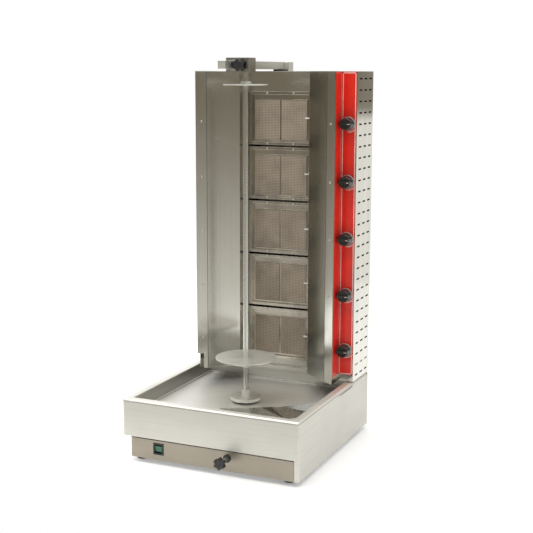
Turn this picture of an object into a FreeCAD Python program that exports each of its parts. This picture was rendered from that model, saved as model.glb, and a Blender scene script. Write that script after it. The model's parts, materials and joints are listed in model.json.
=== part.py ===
import FreeCAD, Part
import Sketcher
import os
import re

from FreeCAD import Placement, Rotation, Vector

# Countertop gas spit grill with five infrared burners and a spit driven from below.
#
# Design frame: X = 0 on the spit's plane, Y = 0 on the front face of the casing, Z = 0 on the underside
# of the base. Every piece is then moved by frame_y and foot_height, which puts the row's origin on the
# floor under the middle of the object's box. Millimetres throughout.

doc = FreeCAD.newDocument("spit_grill")
sheet = doc.addObject("Spreadsheet::Sheet", "Sizes")

BURNERS = 5
COVER_SLOT_ROWS = 28
COVER_SLOT_COLUMNS = 3
STAR_LOBES = 6

SIZES = {
    # base
    "base_width": 580, "base_depth": 600, "casing_bottom": 64, "rim_top": 178, "rim_width": 26,
    "corner_round": 10.5, "rim_round": 8, "sheet": 1.5, "thin_sheet": 1.2, "corner_strip": 14.5,
    "plinth_top": 61, "plinth_inset": 25, "plinth_setback": 1.5, "plinth_round": 12, "panel_gap": 1.2,
    "foot_radius": 19, "foot_height": 15, "foot_inset": 45, "stud_radius": 4, "stud_rise": 8,
    "side_slot_length": 118, "side_slot_height": 3, "tray_floor": 133, "tray_ledge": 12,
    "ledge_rise": 3, "tray_flange": 9, "slot_margin": 3, "fit_gap": 0.3, "run_gap": 0.05,
    # housing
    "column_width": 49, "column_depth": 150, "left_inset": 5, "left_tip_back": 3, "cover_hem": 12,
    "wing_tip_gap": 1.4, "flange_width": 35,
    "wing_width": 120, "wing_tip_ahead": 59, "wing_bend_ahead": 37, "wing_end_behind": 32,
    "wing_rise": 3, "wing_skin": 1.7, "wing_lap": 2, "cover_rise": 2, "red_rise": 24, "red_skin": 0.8,
    "notch_width": 18, "notch_height": 50, "slot_pitch_y": 44.8, "slot_first_y": 33, "slot_rise": 19,
    "slot_top_gap": 22.45, "slot_length": 24, "slot_height": 5, "vent_length": 80, "vent_height": 6,
    "vent_rise": 60, "vent_step": 50, "vent_left": -90, "vent_right": 40, "rail_lap": 6, "rail_step": 5,
    "apron": 65,
    # burners
    "burner_setback": 69, "burner_pitch": 178, "burner_rise": 29, "burner_side_gap": 10,
    "frame_tall": 171, "frame_border": 9, "frame_lip": 2, "burner_depth": 41, "pocket_depth": 10,
    "plaque_side": 22.5, "plaque_tall": 127, "plaque_low": 16.5, "plaque_gap": 4, "plaque_thick": 12,
    "plaque_proud": 5, "holder_lap": 3, "holder_depth": 8, "tip_radius": 2.2, "tip_reach": 14,
    "tip_length": 12, "tip_inset": 6, "tip_rise": 11,
    # gas controls
    "knob_offset": 23.5, "knob_rise": 77.3, "knob_radius": 22.2, "knob_skirt": 7, "knob_depth": 37,
    "knob_crown": 20.5, "knob_grip": 6, "knob_travel": 4, "knob_clear": 1, "knob_bar": 13, "knob_hold": 14,
    "stem_radius": 4, "stem_room": 3, "stem_depth": 28, "pipe_radius": 11, "manifold_setback": 76,
    "manifold_end": 40, "inlet_z": 250, "inlet_radius": 10.5, "inlet_reach": 45, "nut_wide": 5,
    "nut_thick": 9, "nut_stand": 3, "valve_half": 12, "valve_front": 20, "valve_neck": 9,
    "union_radius": 7, "union_length": 3.5, "union_lap": 2, "feed_radius": 4, "feed_aside": 29,
    "feed_ahead": 24, "feed_behind": 25,
    # drive
    "spit_y": 268, "travel_front": 25, "travel_back": 25, "spindle_radius": 9, "drive_radius": 48.5,
    "drive_rise": 17, "drive_thick": 11, "socket_radius": 13, "socket_tall": 22, "rail_x": 95,
    "rail_radius": 6, "rail_z": 36, "rail_ahead": 158, "rail_length": 340, "rail_block": 24,
    "rail_block_depth": 14, "rail_cap": 12, "deck_overhang": 16, "deck_half": 62, "deck_thick": 3,
    "shoe_wide": 26, "shoe_depth": 24, "lug_half": 9, "lug_depth": 16, "gear_half": 44,
    "gear_depth": 40, "gear_tall": 48, "motor_radius": 27, "motor_length": 20, "shaft_rise": 22,
    "bearing_radius": 22, "bearing_tall": 10, "rod_x": 63, "rod_z": 40, "rod_radius": 5,
    "rod_proud": 55, "rod_start": 12, "bush_wall": 4, "bush_flange": 3, "bush_length": 14,
    # spit
    "spit_radius": 8.5, "spit_lift": 2, "spit_over": 31, "low_disc_radius": 95, "low_disc_rise": 97,
    "high_disc_radius": 67.5, "high_disc_drop": 39.5, "disc_thick": 3, "hub_radius": 15, "hub_tall": 27,
    "cap_tall": 9, "t_screw_radius": 3, "t_screw_reach": 12, "t_bar_radius": 2.5, "t_bar_length": 48,
    "t_screw_rise": 8, "set_screw_radius": 2.5, "set_screw_rise": 4.5,
    # arm
    "block_left": 46, "block_right": 26, "block_drop": 5, "block_tall": 43.5, "block_ahead": 39,
    "block_depth": 54, "bar_side": 24, "bar_wall": 2, "bar_x": -30, "bar_rise": 5.5, "bar_ahead": 103,
    "post_plate": 6, "post_depth": 38, "post_drop": 90, "post_wide": 40, "plate_wide": 64,
    "pad_front": 30, "pad_depth": 28, "lock_x": 1, "lock_radius": 4, "lock_stand": 25, "clamp_head": 9,
    "clamp_length": 12, "clamp_radius": 3, "clamp_stand": 2, "star_radius": 18.5, "star_lobe": 5,
    "star_thick": 16, "star_neck": 9, "star_neck_length": 6,
    # switch, terminal box and gland
    "switch_x": -166, "switch_z": 35, "switch_wide": 34, "switch_tall": 36, "bezel_lap": 3,
    "bezel_proud": 2.5, "switch_depth": 27, "switch_wall": 2, "rocker_radius": 12, "rocker_back": 10,
    "rocker_gap": 0.5, "gland_x": 170, "gland_z": 30, "gland_radius": 10, "gland_bore": 4.5,
    "gland_nut_radius": 15, "gland_nut": 8, "gland_cap_radius": 11, "gland_cap": 12, "box_half": 30,
    "box_back": 30, "box_depth": 60, "box_top": 50,
    # screws and scoop
    "flange_screw_radius": 3.5, "flange_screw_tall": 3, "frame_screw_radius": 3.2,
    "frame_screw_tall": 2.2, "frame_screw_x": 46, "frame_screw_inset": 5, "scoop_skin": 1.2,
    "scoop_right": 329, "scoop_ahead": 110,
}
WORKED_OUT = {
    "frame_y": "(rod_proud - inlet_reach - base_depth) / 2",
    # across
    "column_x": "base_width / 2 - column_width", "house_left": "column_x - left_inset",
    "wing_tip_x": "column_x - wing_tip_gap", "wing_bend_x": "column_x - flange_width",
    "wing_end_x": "column_x - wing_width", "frame_half": "wing_end_x - burner_side_gap",
    "plaque_width": "frame_half - plaque_side", "feed_x": "wing_end_x + feed_aside",
    "knob_x": "column_x + knob_offset", "scoop_x": "base_width / 2 - scoop_right",
    # front to back
    "burner_face": "base_depth - burner_setback", "tray_back": "burner_face + rail_lap",
    "column_front": "base_depth - column_depth", "wing_tip_y": "column_front - wing_tip_ahead",
    "left_tip_y": "wing_tip_y + left_tip_back",
    "wing_bend_y": "column_front - wing_bend_ahead", "wing_end_y": "column_front + wing_end_behind",
    "manifold_y": "base_depth - manifold_setback", "feed_front": "manifold_y - feed_ahead",
    "feed_back": "burner_face + feed_behind", "rail_front": "spit_y - rail_ahead",
    "block_front": "spit_y - block_ahead", "bar_front": "spit_y - bar_ahead",
    "scoop_y": "spit_y - scoop_ahead",
    # up
    "cover_bottom": "rim_top + cover_rise", "wing_bottom": "rim_top + wing_rise",
    "red_bottom": "rim_top + red_rise", "burner_low": "rim_top + burner_rise",
    "knob_low": "burner_low + knob_rise",
    "house_top": f"burner_low + {BURNERS - 1} * burner_pitch + frame_tall + apron",
    "slot_low_z": "rim_top + slot_rise",
    "slot_pitch_z": f"(house_top - slot_low_z - slot_top_gap) / {COVER_SLOT_ROWS - 1}",
    "drive_top": "tray_floor + drive_rise", "spit_low": "drive_top + spit_lift",
    "low_disc_top": "rim_top + low_disc_rise", "high_disc_top": "house_top - high_disc_drop",
    "spit_top": "house_top + spit_over", "block_low": "house_top - block_drop",
    "block_high": "block_low + block_tall", "bar_low": "house_top + bar_rise",
}
for row, (name, content) in enumerate([*SIZES.items(), *WORKED_OUT.items()], start=1):
    sheet.set(f"A{row}", name)
    sheet.set(f"B{row}", f"={content}" if name in WORKED_OUT else str(content))
    sheet.setAlias(f"B{row}", name)
doc.recompute()

WORDS = {*SIZES, *WORKED_OUT}
pieces = []


def value(expression):
    """Number that an expression of sheet names stands for."""
    spare = doc.addObject("App::FeaturePython", "Spare")
    spare.addProperty("App::PropertyFloat", "Number")
    spare.setExpression("Number", bound(expression))
    spare.recompute()
    number = spare.Number
    doc.removeObject(spare.Name)
    return number


def bound(expression):
    """The same expression with each sheet name written as a reference to its cell."""
    return re.sub(r"[a-z_]+", lambda m: f"Sizes.{m[0]}" if m[0] in WORDS else m[0], str(expression))


def bind(item, name, expression):
    item.setExpression(name, bound(expression))


def seat(item, corner):
    """Place an item by its own origin, given in the design frame."""
    bind(item, "Placement.Base.x", corner[0])
    bind(item, "Placement.Base.y", f"({corner[1]}) + frame_y")
    bind(item, "Placement.Base.z", f"({corner[2]}) + foot_height")


def box(x, y, z):
    """Box between two places along each axis."""
    item = doc.addObject("Part::Box", "Block")
    for side, (low, high) in zip(("Length", "Width", "Height"), (x, y, z)):
        bind(item, side, f"({high}) - ({low})")
    seat(item, (x[0], y[0], z[0]))
    return item


TURNS = {"x": Rotation(Vector(0, 1, 0), 90), "y": Rotation(Vector(1, 0, 0), -90), "z": Rotation()}


def rod(start, radius, length, axis="z"):
    """Round bar from a start point along an axis."""
    item = doc.addObject("Part::Cylinder", "Round")
    item.Placement = Placement(Vector(), TURNS[axis])
    bind(item, "Radius", radius)
    bind(item, "Height", length)
    seat(item, start)
    return item


def ball(centre, radius):
    item = doc.addObject("Part::Sphere", "Ball")
    bind(item, "Radius", radius)
    seat(item, centre)
    return item


def fuse(*items):
    if len(items) == 1:
        return items[0]
    joined = doc.addObject("Part::MultiFuse", "Joined")
    joined.Shapes = list(items)
    joined.Refine = True
    return joined


def cut(item, *tools):
    result = doc.addObject("Part::Cut", "Cut")
    result.Base = item
    result.Tool = fuse(*tools)
    result.Refine = True
    return result


def group(*items):
    """Separate like pieces that share one node."""
    held = doc.addObject("Part::Compound", "Group")
    held.Links = list(items)
    return held


def piece(label, item):
    item.Label = label
    pieces.append(item)
    return item


PLANES = {"XY": "XY_Plane", "XZ": "XZ_Plane", "YZ": "YZ_Plane"}


def new_body():
    body = doc.addObject("PartDesign::Body", "Body")
    seat(body, (0, 0, 0))
    return body


def outline(body, plane, points, at=0):
    """Closed straight-sided sketch whose corners are bound to the sheet."""
    sketch = body.newObject("Sketcher::SketchObject", "Outline")
    role = next(f for f in body.Origin.OriginFeatures if f.Role == PLANES[plane])
    sketch.AttachmentSupport = [(role, "")]
    sketch.MapMode = "FlatFace"
    bind(sketch, "AttachmentOffset.Base.z", at)
    corners = [Vector(value(u), value(v), 0) for u, v in points]
    count = len(corners)
    for i in range(count):
        sketch.addGeometry(Part.LineSegment(corners[i], corners[(i + 1) % count]), False)
    for i in range(count):
        sketch.addConstraint(Sketcher.Constraint("Coincident", i, 2, (i + 1) % count, 1))
    for i, (u, v) in enumerate(points):
        for kind, expression, number in (("DistanceX", u, corners[i].x), ("DistanceY", v, corners[i].y)):
            n = sketch.addConstraint(Sketcher.Constraint(kind, -1, 1, i, 1, number))
            bind(sketch, f"Constraints[{n}]", expression)
    return sketch


def pad(body, sketch, length, flip=False):
    feature = body.newObject("PartDesign::Pad", "Pad")
    feature.Profile = sketch
    bind(feature, "Length", length)
    feature.Reversed = flip
    doc.recompute()
    return feature


def round_edges(body, radius, wanted):
    """Fillet the edges of a body's tip whose midpoint, in the body's own frame, passes a test."""
    tip = body.Tip
    names = []
    for n, edge in enumerate(tip.Shape.Edges, start=1):
        middle = edge.valueAt((edge.FirstParameter + edge.LastParameter) / 2)
        if wanted(edge, middle):
            names.append(f"Edge{n}")
    feature = body.newObject("PartDesign::Fillet", "Fillet")
    feature.Base = (tip, names)
    bind(feature, "Radius", radius)
    doc.recompute()
    return feature


def extruded(plane, points, at, length, flip=False):
    body = new_body()
    pad(body, outline(body, plane, points, at), length, flip)
    return body


def near(a, b):
    return abs(a - b) < 1e-3


def rectangle(x, y):
    return [(x[0], y[0]), (x[1], y[0]), (x[1], y[1]), (x[0], y[1])]


# ---------------------------------------------------------------- base
def rounded_box(x, y, z, corner, top=None, sides=("low", "high")):
    """Box with its front vertical edges rounded, and its top edges too except the rear one."""
    body = extruded("XY", rectangle(x, y), z[0], f"({z[1]}) - ({z[0]})")
    ends = {"low": value(x[0]), "high": value(x[1])}
    front = value(y[0])
    rear = value(y[1])
    ceiling = value(z[1])

    def upright(edge, middle):
        flat = any(near(middle.x, ends[side]) for side in sides)
        return flat and near(middle.y, front) and abs(edge.tangentAt(edge.FirstParameter).z) > 0.9

    round_edges(body, corner, upright)
    if top:
        round_edges(body, top, lambda edge, middle: near(middle.z, ceiling) and not near(middle.y, rear))
    return body


half = "base_width / 2"
shell = rounded_box((f"-{half}", half), (0, "base_depth"), ("casing_bottom", "rim_top"),
                    "corner_round", "rim_round")
hollow = rounded_box((f"-{half} + sheet", f"{half} - sheet"), ("sheet", "base_depth - sheet"),
                     ("casing_bottom + sheet", "rim_top - sheet"), "corner_round - sheet",
                     "rim_round - sheet")
skirt = rounded_box((f"{half} - corner_strip", half), (0, "base_depth"), (0, "casing_bottom + sheet"),
                    "corner_round", sides=("high",))
skirt_hollow = rounded_box((f"{half} - 3 * corner_strip", f"{half} - sheet"),
                           ("sheet", "base_depth + sheet"), ("-sheet", "casing_bottom + 3 * sheet"),
                           "corner_round - sheet", sides=("high",))
underside = box((f"-{half} + plinth_inset + corner_strip", f"{half} - corner_strip - sheet"),
                ("corner_strip", "base_depth - corner_strip"),
                ("casing_bottom - sheet", "casing_bottom + 2 * sheet"))
mouth = box((f"-{half} + rim_width", f"{half} - rim_width"), ("rim_width", "tray_back"),
            ("rim_top - 10 * sheet", "rim_top + sheet"))
side_slot = box((f"{half} - 2 * sheet", f"{half} + sheet"),
                ("column_front - side_slot_length", "column_front"),
                ("rim_top - rim_round - side_slot_height - sheet", "rim_top - rim_round - sheet"))
casing = cut(fuse(cut(shell, hollow, underside, mouth), skirt), skirt_hollow, side_slot)
piece("base_casing", casing)

left = f"-{half} + plinth_inset"
right = f"{half} - corner_strip - panel_gap"
plinth_out = rounded_box((left, right), ("plinth_setback", "base_depth"), (0, "plinth_top"),
                         "plinth_round", sides=("low",))
plinth_in = rounded_box((f"{left} + sheet", f"{right} + sheet"),
                        ("plinth_setback + sheet", "base_depth - sheet"),
                        ("-sheet", "plinth_top - sheet"), "plinth_round - sheet", sides=("low",))
lip = box((f"{left} + corner_strip", f"{right} - sheet"), ("corner_strip", "base_depth - corner_strip"),
          ("plinth_top - sheet", "casing_bottom"))
lip_hole = box((f"{left} + corner_strip + sheet", f"{right} - 2 * sheet"),
               ("corner_strip + sheet", "base_depth - corner_strip - sheet"), (0, "casing_bottom + sheet"))
switch_hole = box(("switch_x - switch_wide / 2 + bezel_lap", "switch_x + switch_wide / 2 - bezel_lap"),
                  (0, "3 * sheet"),
                  ("switch_z - switch_tall / 2 + bezel_lap", "switch_z + switch_tall / 2 - bezel_lap"))
bush_hole = rod(("rod_x", 0, "rod_z"), "rod_radius + bush_wall", "3 * sheet", "y")
gland_hole = rod(("gland_x", "base_depth - 3 * sheet", "gland_z"), "gland_radius", "6 * sheet", "y")
plinth = cut(fuse(cut(plinth_out, plinth_in), lip), lip_hole, switch_hole, bush_hole, gland_hole)
piece("plinth_wall", plinth)

foot_places = [(f"{side} * ({half} - foot_inset)", y) for side in (-1, 1)
               for y in ("foot_inset", "base_depth - foot_inset")]
plate = box((f"{left} + sheet + fit_gap", f"{half} - sheet - fit_gap"),
            ("plinth_setback + sheet + plinth_round", "base_depth - sheet - fit_gap"), (0, "sheet"))
stud_holes = [rod((x, y, "-sheet"), "stud_radius", "3 * sheet") for x, y in foot_places]
piece("base_plate", cut(plate, *stud_holes))
feet = []
for x, y in foot_places:
    stud = rod((x, y, "-foot_height / 2"), "stud_radius - run_gap", "foot_height / 2 + stud_rise")
    feet.append(fuse(rod((x, y, "-foot_height"), "foot_radius", "foot_height"), stud))
piece("feet", group(*feet))

# tray: a pressed dish hung under the rim, with a narrow ledge round its floor
side = f"{half} - rim_width - fit_gap"
front = "rim_width + fit_gap"
back = "tray_back - fit_gap"
dish = box((f"-({side})", side), (front, back), ("tray_floor - thin_sheet", "rim_top - sheet"))
flange = box((f"-({side}) - tray_flange", f"{side} + tray_flange"),
             (f"{front} - tray_flange", f"{back} + tray_flange"),
             ("rim_top - sheet - thin_sheet", "rim_top - sheet"))
well = box((f"-({side}) + thin_sheet", f"{side} - thin_sheet"),
           (f"{front} + thin_sheet", f"{back} - thin_sheet"), ("tray_floor + ledge_rise", "rim_top + sheet"))
basin = box((f"-({side}) + tray_ledge", f"{side} - tray_ledge"),
            (f"{front} + tray_ledge", f"{back} - tray_ledge"),
            ("tray_floor", "tray_floor + 2 * ledge_rise"))
slot_half = "(spindle_radius + slot_margin)"
spindle_slot = box((f"-{slot_half}", slot_half),
                   (f"spit_y - travel_front - {slot_half}", f"spit_y + travel_back + {slot_half}"),
                   ("tray_floor - 2 * sheet", "tray_floor + 2 * ledge_rise"))
piece("tray", cut(fuse(dish, flange), well, basin, spindle_slot))

# ---------------------------------------------------------------- housing
under_roof = "house_top - sheet"
tall = f"{under_roof} - wing_bottom"


def wing_points(sign, tip_x, tip_y):
    """Plan of one heat shield, from its front flange to its return beside the burners."""
    path = [(tip_x, tip_y), ("wing_bend_x", "wing_bend_y"), ("wing_end_x", "wing_end_y"),
            ("wing_end_x", "burner_face + wing_lap"), ("wing_end_x + thin_sheet", "burner_face + wing_lap"),
            ("wing_end_x + thin_sheet", "wing_end_y + wing_skin"),
            ("wing_bend_x", "wing_bend_y + wing_skin"), (tip_x, f"{tip_y} + wing_skin")]
    return [(f"{sign} * ({x})", y) for x, y in path]


def notch():
    """Opening at the lower front corner of the left side."""
    return box(("-house_left - sheet", "-house_left + notch_width"),
               ("left_tip_y - sheet", "left_tip_y + notch_width"),
               ("wing_bottom - sheet", "wing_bottom + notch_height"))


left_tip = ("house_left - wing_tip_gap", "left_tip_y")
right_tip = ("wing_tip_x", "wing_tip_y")
piece("wing_left", cut(extruded("XY", wing_points(-1, *left_tip), "wing_bottom", tall), notch()))
piece("wing_right", extruded("XY", wing_points(1, *right_tip), "wing_bottom", tall))
left_cover = box(("-house_left", "-house_left + thin_sheet"), ("left_tip_y", "base_depth - sheet"),
                 ("wing_bottom", under_roof))
piece("left_cover", cut(left_cover, notch()))

knob_heights = [f"knob_low + {i} * burner_pitch" for i in reversed(range(BURNERS))]


def stem_holes():
    return [rod(("knob_x", "column_front - 3 * thin_sheet", z), "stem_radius + stem_room",
                "6 * thin_sheet", "y") for z in knob_heights]


panel = extruded("XY", [("column_x", "wing_tip_y + wing_skin"), ("column_x", "column_front"),
                        (f"{half} - sheet", "column_front"), (f"{half} - sheet", "column_front + thin_sheet"),
                        ("column_x - thin_sheet", "column_front + thin_sheet"),
                        ("column_x - thin_sheet", "wing_tip_y + wing_skin")], "wing_bottom", tall)
piece("control_panel", cut(panel, *stem_holes()))
fascia = extruded("XY", [("column_x", "wing_tip_y + 2 * wing_skin"),
                         ("column_x + red_skin", "wing_tip_y + 2 * wing_skin"),
                         ("column_x + red_skin", "column_front - red_skin"),
                         (f"{half} - sheet - fit_gap", "column_front - red_skin"),
                         (f"{half} - sheet - fit_gap", "column_front"), ("column_x", "column_front")],
                  "red_bottom", f"{under_roof} - red_bottom - fit_gap")
piece("red_fascia", cut(fascia, *stem_holes()))

cover = fuse(box((f"{half} - sheet", half), ("column_front", "base_depth"), ("cover_bottom", under_roof)),
             box((f"{half} - cover_hem", f"{half} - sheet"),
                 ("column_front + thin_sheet", "column_front + thin_sheet + sheet"),
                 ("cover_bottom", under_roof)))
slots = []
for column in range(COVER_SLOT_COLUMNS):
    for level in range(COVER_SLOT_ROWS):
        y = f"column_front + slot_first_y + {column} * slot_pitch_y"
        z = f"slot_low_z + {level} * slot_pitch_z"
        slots.append(box((f"{half} - 2 * sheet", f"{half} + sheet"),
                         (f"{y} - slot_length / 2", f"{y} + slot_length / 2"),
                         (f"{z} - slot_height / 2", f"{z} + slot_height / 2")))
piece("right_cover", cut(cover, *slots))

rear = box(("-house_left + thin_sheet", f"{half} - sheet"), ("base_depth - sheet", "base_depth"),
           ("rim_top", under_roof))
vents = []
for i in range(BURNERS):
    for start in ("vent_left", "vent_right"):
        for z in (f"burner_low + {i} * burner_pitch + vent_rise + {k} * vent_step" for k in (0, 1)):
            vents.append(box((start, f"{start} + vent_length"),
                             ("base_depth - 2 * sheet", "base_depth + sheet"), (z, f"{z} + vent_height")))
inlet_hole = rod(("knob_x", "base_depth - 3 * sheet", "inlet_z"), "inlet_radius + sheet", "6 * sheet", "y")
piece("rear_panel", cut(rear, *vents, inlet_hole))

roof_points = [("-house_left", "left_tip_y"), ("-wing_bend_x", "wing_bend_y"), ("-wing_end_x", "wing_end_y"),
               ("-wing_end_x", "burner_face"), ("wing_end_x", "burner_face"), ("wing_end_x", "wing_end_y"),
               ("wing_bend_x", "wing_bend_y"), ("column_x", "wing_tip_y"), ("column_x", "column_front"),
               (half, "column_front"), (half, "base_depth"), ("-house_left", "base_depth")]
roof = extruded("XY", roof_points, under_roof, "sheet")
apron = box(("-wing_end_x", "wing_end_x"), ("burner_face", "burner_face + thin_sheet"),
            ("house_top - apron", under_roof))
piece("roof_panel", fuse(roof, apron))

# strip under the lowest burner: a drip edge behind the tray, a step and a riser
rail_x_range = ("-wing_end_x + fit_gap", "wing_end_x - fit_gap")
rail_back = "burner_face + rail_step"
drip = box(rail_x_range, ("burner_face - rail_lap", "burner_face - rail_lap + thin_sheet"),
           ("rim_top - rail_lap", "rim_top + rail_step"))
step = box(rail_x_range, ("burner_face - rail_lap", rail_back),
           ("rim_top + rail_step", "rim_top + rail_step + thin_sheet"))
riser = box(rail_x_range, (f"{rail_back} - thin_sheet", rail_back), ("rim_top + rail_step", "burner_low"))
piece("burner_rail", fuse(drip, step, riser))

# ---------------------------------------------------------------- burners
plaques = []
tips = []
seat_x = "plaque_gap / 2 + plaque_width"
holder_y = ("burner_face + plaque_proud + frame_lip", "burner_face + pocket_depth + holder_depth")
for i in range(BURNERS):
    low = f"burner_low + {i} * burner_pitch"
    high = f"{low} + frame_tall"
    plaque_z = (f"{low} + plaque_low", f"{low} + plaque_low + plaque_tall")
    can = box(("-frame_half", "frame_half"), ("burner_face", "burner_face + burner_depth"), (low, high))
    recess = box(("-frame_half + frame_border + frame_lip", "frame_half - frame_border - frame_lip"),
                 ("burner_face - frame_lip", "burner_face + pocket_depth"),
                 (f"{low} + frame_border", f"{high} - frame_border"))
    hollow = box(("-frame_half + thin_sheet", "frame_half - thin_sheet"),
                 ("burner_face + pocket_depth + thin_sheet", "burner_face + burner_depth + frame_lip"),
                 (f"{low} + thin_sheet", f"{high} - thin_sheet"))
    holder = box((f"-({seat_x}) - holder_lap", f"{seat_x} + holder_lap"), holder_y,
                 (f"{plaque_z[0]} - holder_lap", f"{plaque_z[1]} + holder_lap"))
    window = box((f"-({seat_x})", seat_x), ("burner_face - frame_lip", "burner_face + burner_depth"),
                 plaque_z)
    rib = box(("-plaque_gap / 2", "plaque_gap / 2"), holder_y, plaque_z)
    piece(f"burner_{BURNERS - i}", fuse(cut(fuse(cut(can, recess, hollow), holder), window), rib))
    for x0 in (f"-({seat_x})", "plaque_gap / 2"):
        plaques.append(box((x0, f"{x0} + plaque_width"),
                           ("burner_face + plaque_proud", "burner_face + plaque_proud + plaque_thick"),
                           plaque_z))
    elbow = ("frame_half - tip_inset", "burner_face - tip_reach",
             f"knob_low + {i} * burner_pitch + tip_rise")
    sensor = ("frame_half - tip_inset - tip_length", *elbow[1:])
    tips.append(fuse(rod(elbow, "tip_radius", "tip_reach", "y"),
                     rod(sensor, "tip_radius", "tip_length", "x"), ball(elbow, "tip_radius")))
piece("ceramic_plaques", group(*plaques))
piece("thermocouples", group(*tips))

# ---------------------------------------------------------------- gas train and controls
column_top = f"knob_low + {BURNERS - 1} * burner_pitch + manifold_end"
pipe_low = "inlet_z - manifold_end / 2"
pipe = rod(("knob_x", "manifold_y", pipe_low), "pipe_radius", f"{column_top} - ({pipe_low})")
inlet = rod(("knob_x", "manifold_y", "inlet_z"), "inlet_radius", "base_depth + inlet_reach - manifold_y", "y")
nut = rod(("knob_x", "base_depth + nut_stand", "inlet_z"), "inlet_radius + nut_wide", "nut_thick", "y")
piece("gas_manifold", fuse(pipe, inlet, nut))

valves = []
feeds = []
knob_back = "column_front - red_skin - knob_travel - knob_clear"
pipe_face = "manifold_y - pipe_radius"
stem_start = f"{knob_back} - knob_hold"
for i, z in enumerate(knob_heights, start=1):
    valve = fuse(box(("knob_x - valve_half", "knob_x + valve_half"),
                     ("column_front + valve_front", pipe_face), (f"{z} - valve_half", f"{z} + valve_half")),
                 rod(("knob_x", "column_front + thin_sheet", z), "valve_neck", "valve_front", "y"),
                 rod(("knob_x", f"{pipe_face} - union_lap", z), "union_radius", "union_length", "y"))
    stem_way = rod(("knob_x", "column_front", z), "stem_radius + run_gap", "stem_depth + stem_room", "y")
    valves.append(cut(valve, stem_way))
    feeds.append(fuse(rod(("feed_x", "feed_front", z), "feed_radius", "knob_x - valve_half - feed_x", "x"),
                      rod(("feed_x", "feed_front", z), "feed_radius", "feed_back - feed_front", "y"),
                      rod(("frame_half", "feed_back", z), "feed_radius", "feed_x - frame_half", "x"),
                      ball(("feed_x", "feed_front", z), "feed_radius"),
                      ball(("feed_x", "feed_back", z), "feed_radius")))
    piece(f"stem_{i}", rod(("knob_x", stem_start, z), "stem_radius",
                           f"column_front + stem_depth - ({stem_start})", "y"))
    skirt_disc = rod(("knob_x", f"{knob_back} - knob_skirt", z), "knob_radius", "knob_skirt", "y")
    crown = rod(("knob_x", f"{knob_back} - knob_depth + knob_grip", z), "knob_crown",
                "knob_depth - knob_skirt - knob_grip", "y")
    grip = box(("knob_x - knob_crown", "knob_x + knob_crown"),
               (f"{knob_back} - knob_depth", f"{knob_back} - knob_skirt"),
               (f"{z} - knob_bar / 2", f"{z} + knob_bar / 2"))
    bore = rod(("knob_x", f"{stem_start} - knob_travel - knob_clear", z), "stem_radius + run_gap",
               "2 * knob_hold", "y")
    piece(f"knob_{i}", cut(fuse(skirt_disc, crown, grip), bore))
piece("gas_valves", group(*valves))
piece("feed_pipes", group(*feeds))

# ---------------------------------------------------------------- spit drive in the base
rails = []
rail_back_block = "rail_front + rail_length - rail_block_depth"
for sign in (-1, 1):
    x = f"{sign} * rail_x"
    blocks = [box((f"{x} - rail_block / 2", f"{x} + rail_block / 2"), (y, f"{y} + rail_block_depth"),
                  ("sheet", "rail_z + rail_cap")) for y in ("rail_front", rail_back_block)]
    rails.append(fuse(rod((x, "rail_front", "rail_z"), "rail_radius", "rail_length", "y"), *blocks))
piece("guide_rails", group(*rails))

deck_low = "rail_z + rail_cap"
deck_top = f"{deck_low} + deck_thick"
deck = box(("-rail_x - deck_overhang", "rail_x + deck_overhang"),
           ("spit_y - deck_half", "spit_y + deck_half"), (deck_low, deck_top))
shoes = [box((f"{s} * rail_x - shoe_wide / 2", f"{s} * rail_x + shoe_wide / 2"), (y, f"{y} + shoe_depth"),
             ("rail_z - rail_cap", deck_low))
         for s in (-1, 1) for y in ("spit_y - deck_half", "spit_y + deck_half - shoe_depth")]
shoe_bores = [rod((f"{s} * rail_x", "rail_front", "rail_z"), "rail_radius + run_gap", "rail_length", "y")
              for s in (-1, 1)]
lug = box(("rod_x - lug_half", "rod_x + lug_half"), ("spit_y - deck_half", "spit_y - deck_half + lug_depth"),
          ("rod_z - lug_half", deck_low))
piece("motor_carriage", cut(fuse(deck, lug, *shoes), *shoe_bores))
gear_top = f"{deck_top} + gear_tall"
shaft_low = f"{deck_top} + shaft_rise"
gearbox = fuse(box(("-gear_half", "gear_half"), ("spit_y - gear_depth", "spit_y + gear_depth"),
                   (deck_top, gear_top)),
               rod((0, "spit_y + gear_depth", f"{deck_top} + motor_radius + deck_thick"), "motor_radius",
                   "motor_length", "y"))
piece("gear_motor", cut(gearbox, rod((0, "spit_y", f"{shaft_low} - deck_thick"), "spindle_radius + run_gap",
                                     "gear_tall")))
bearing = rod((0, "spit_y", gear_top), "bearing_radius", "bearing_tall")
piece("spindle_bearing", cut(bearing, rod((0, "spit_y", deck_top), "spindle_radius + run_gap",
                                          "gear_tall + 2 * bearing_tall")))
disc_low = "drive_top - drive_thick"
piece("drive_spindle", rod((0, "spit_y", shaft_low), "spindle_radius", f"{disc_low} - ({shaft_low})"))
socket = rod((0, "spit_y", "drive_top"), "socket_radius", "socket_tall")
socket_bore = rod((0, "spit_y", "drive_top + spit_lift / 2"), "spit_radius + run_gap",
                  "socket_tall + drive_thick")
driven = rod((0, "spit_y", disc_low), "drive_radius", "drive_thick")
piece("drive_disc", cut(fuse(driven, socket), socket_bore))

rod_front = "-rod_proud + rod_start"
rod_length = f"spit_y - deck_half - ({rod_front})"
piece("push_rod", rod(("rod_x", rod_front, "rod_z"), "rod_radius", rod_length, "y"))
bush = fuse(rod(("rod_x", "plinth_setback - bush_flange", "rod_z"), "rod_radius + bush_wall + bush_flange",
                "bush_flange", "y"),
            rod(("rod_x", "plinth_setback", "rod_z"), "rod_radius + bush_wall - run_gap", "bush_length", "y"))
piece("rod_bush", cut(bush, rod(("rod_x", "plinth_setback - bush_length", "rod_z"), "rod_radius + run_gap",
                                "3 * bush_length", "y")))


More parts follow.
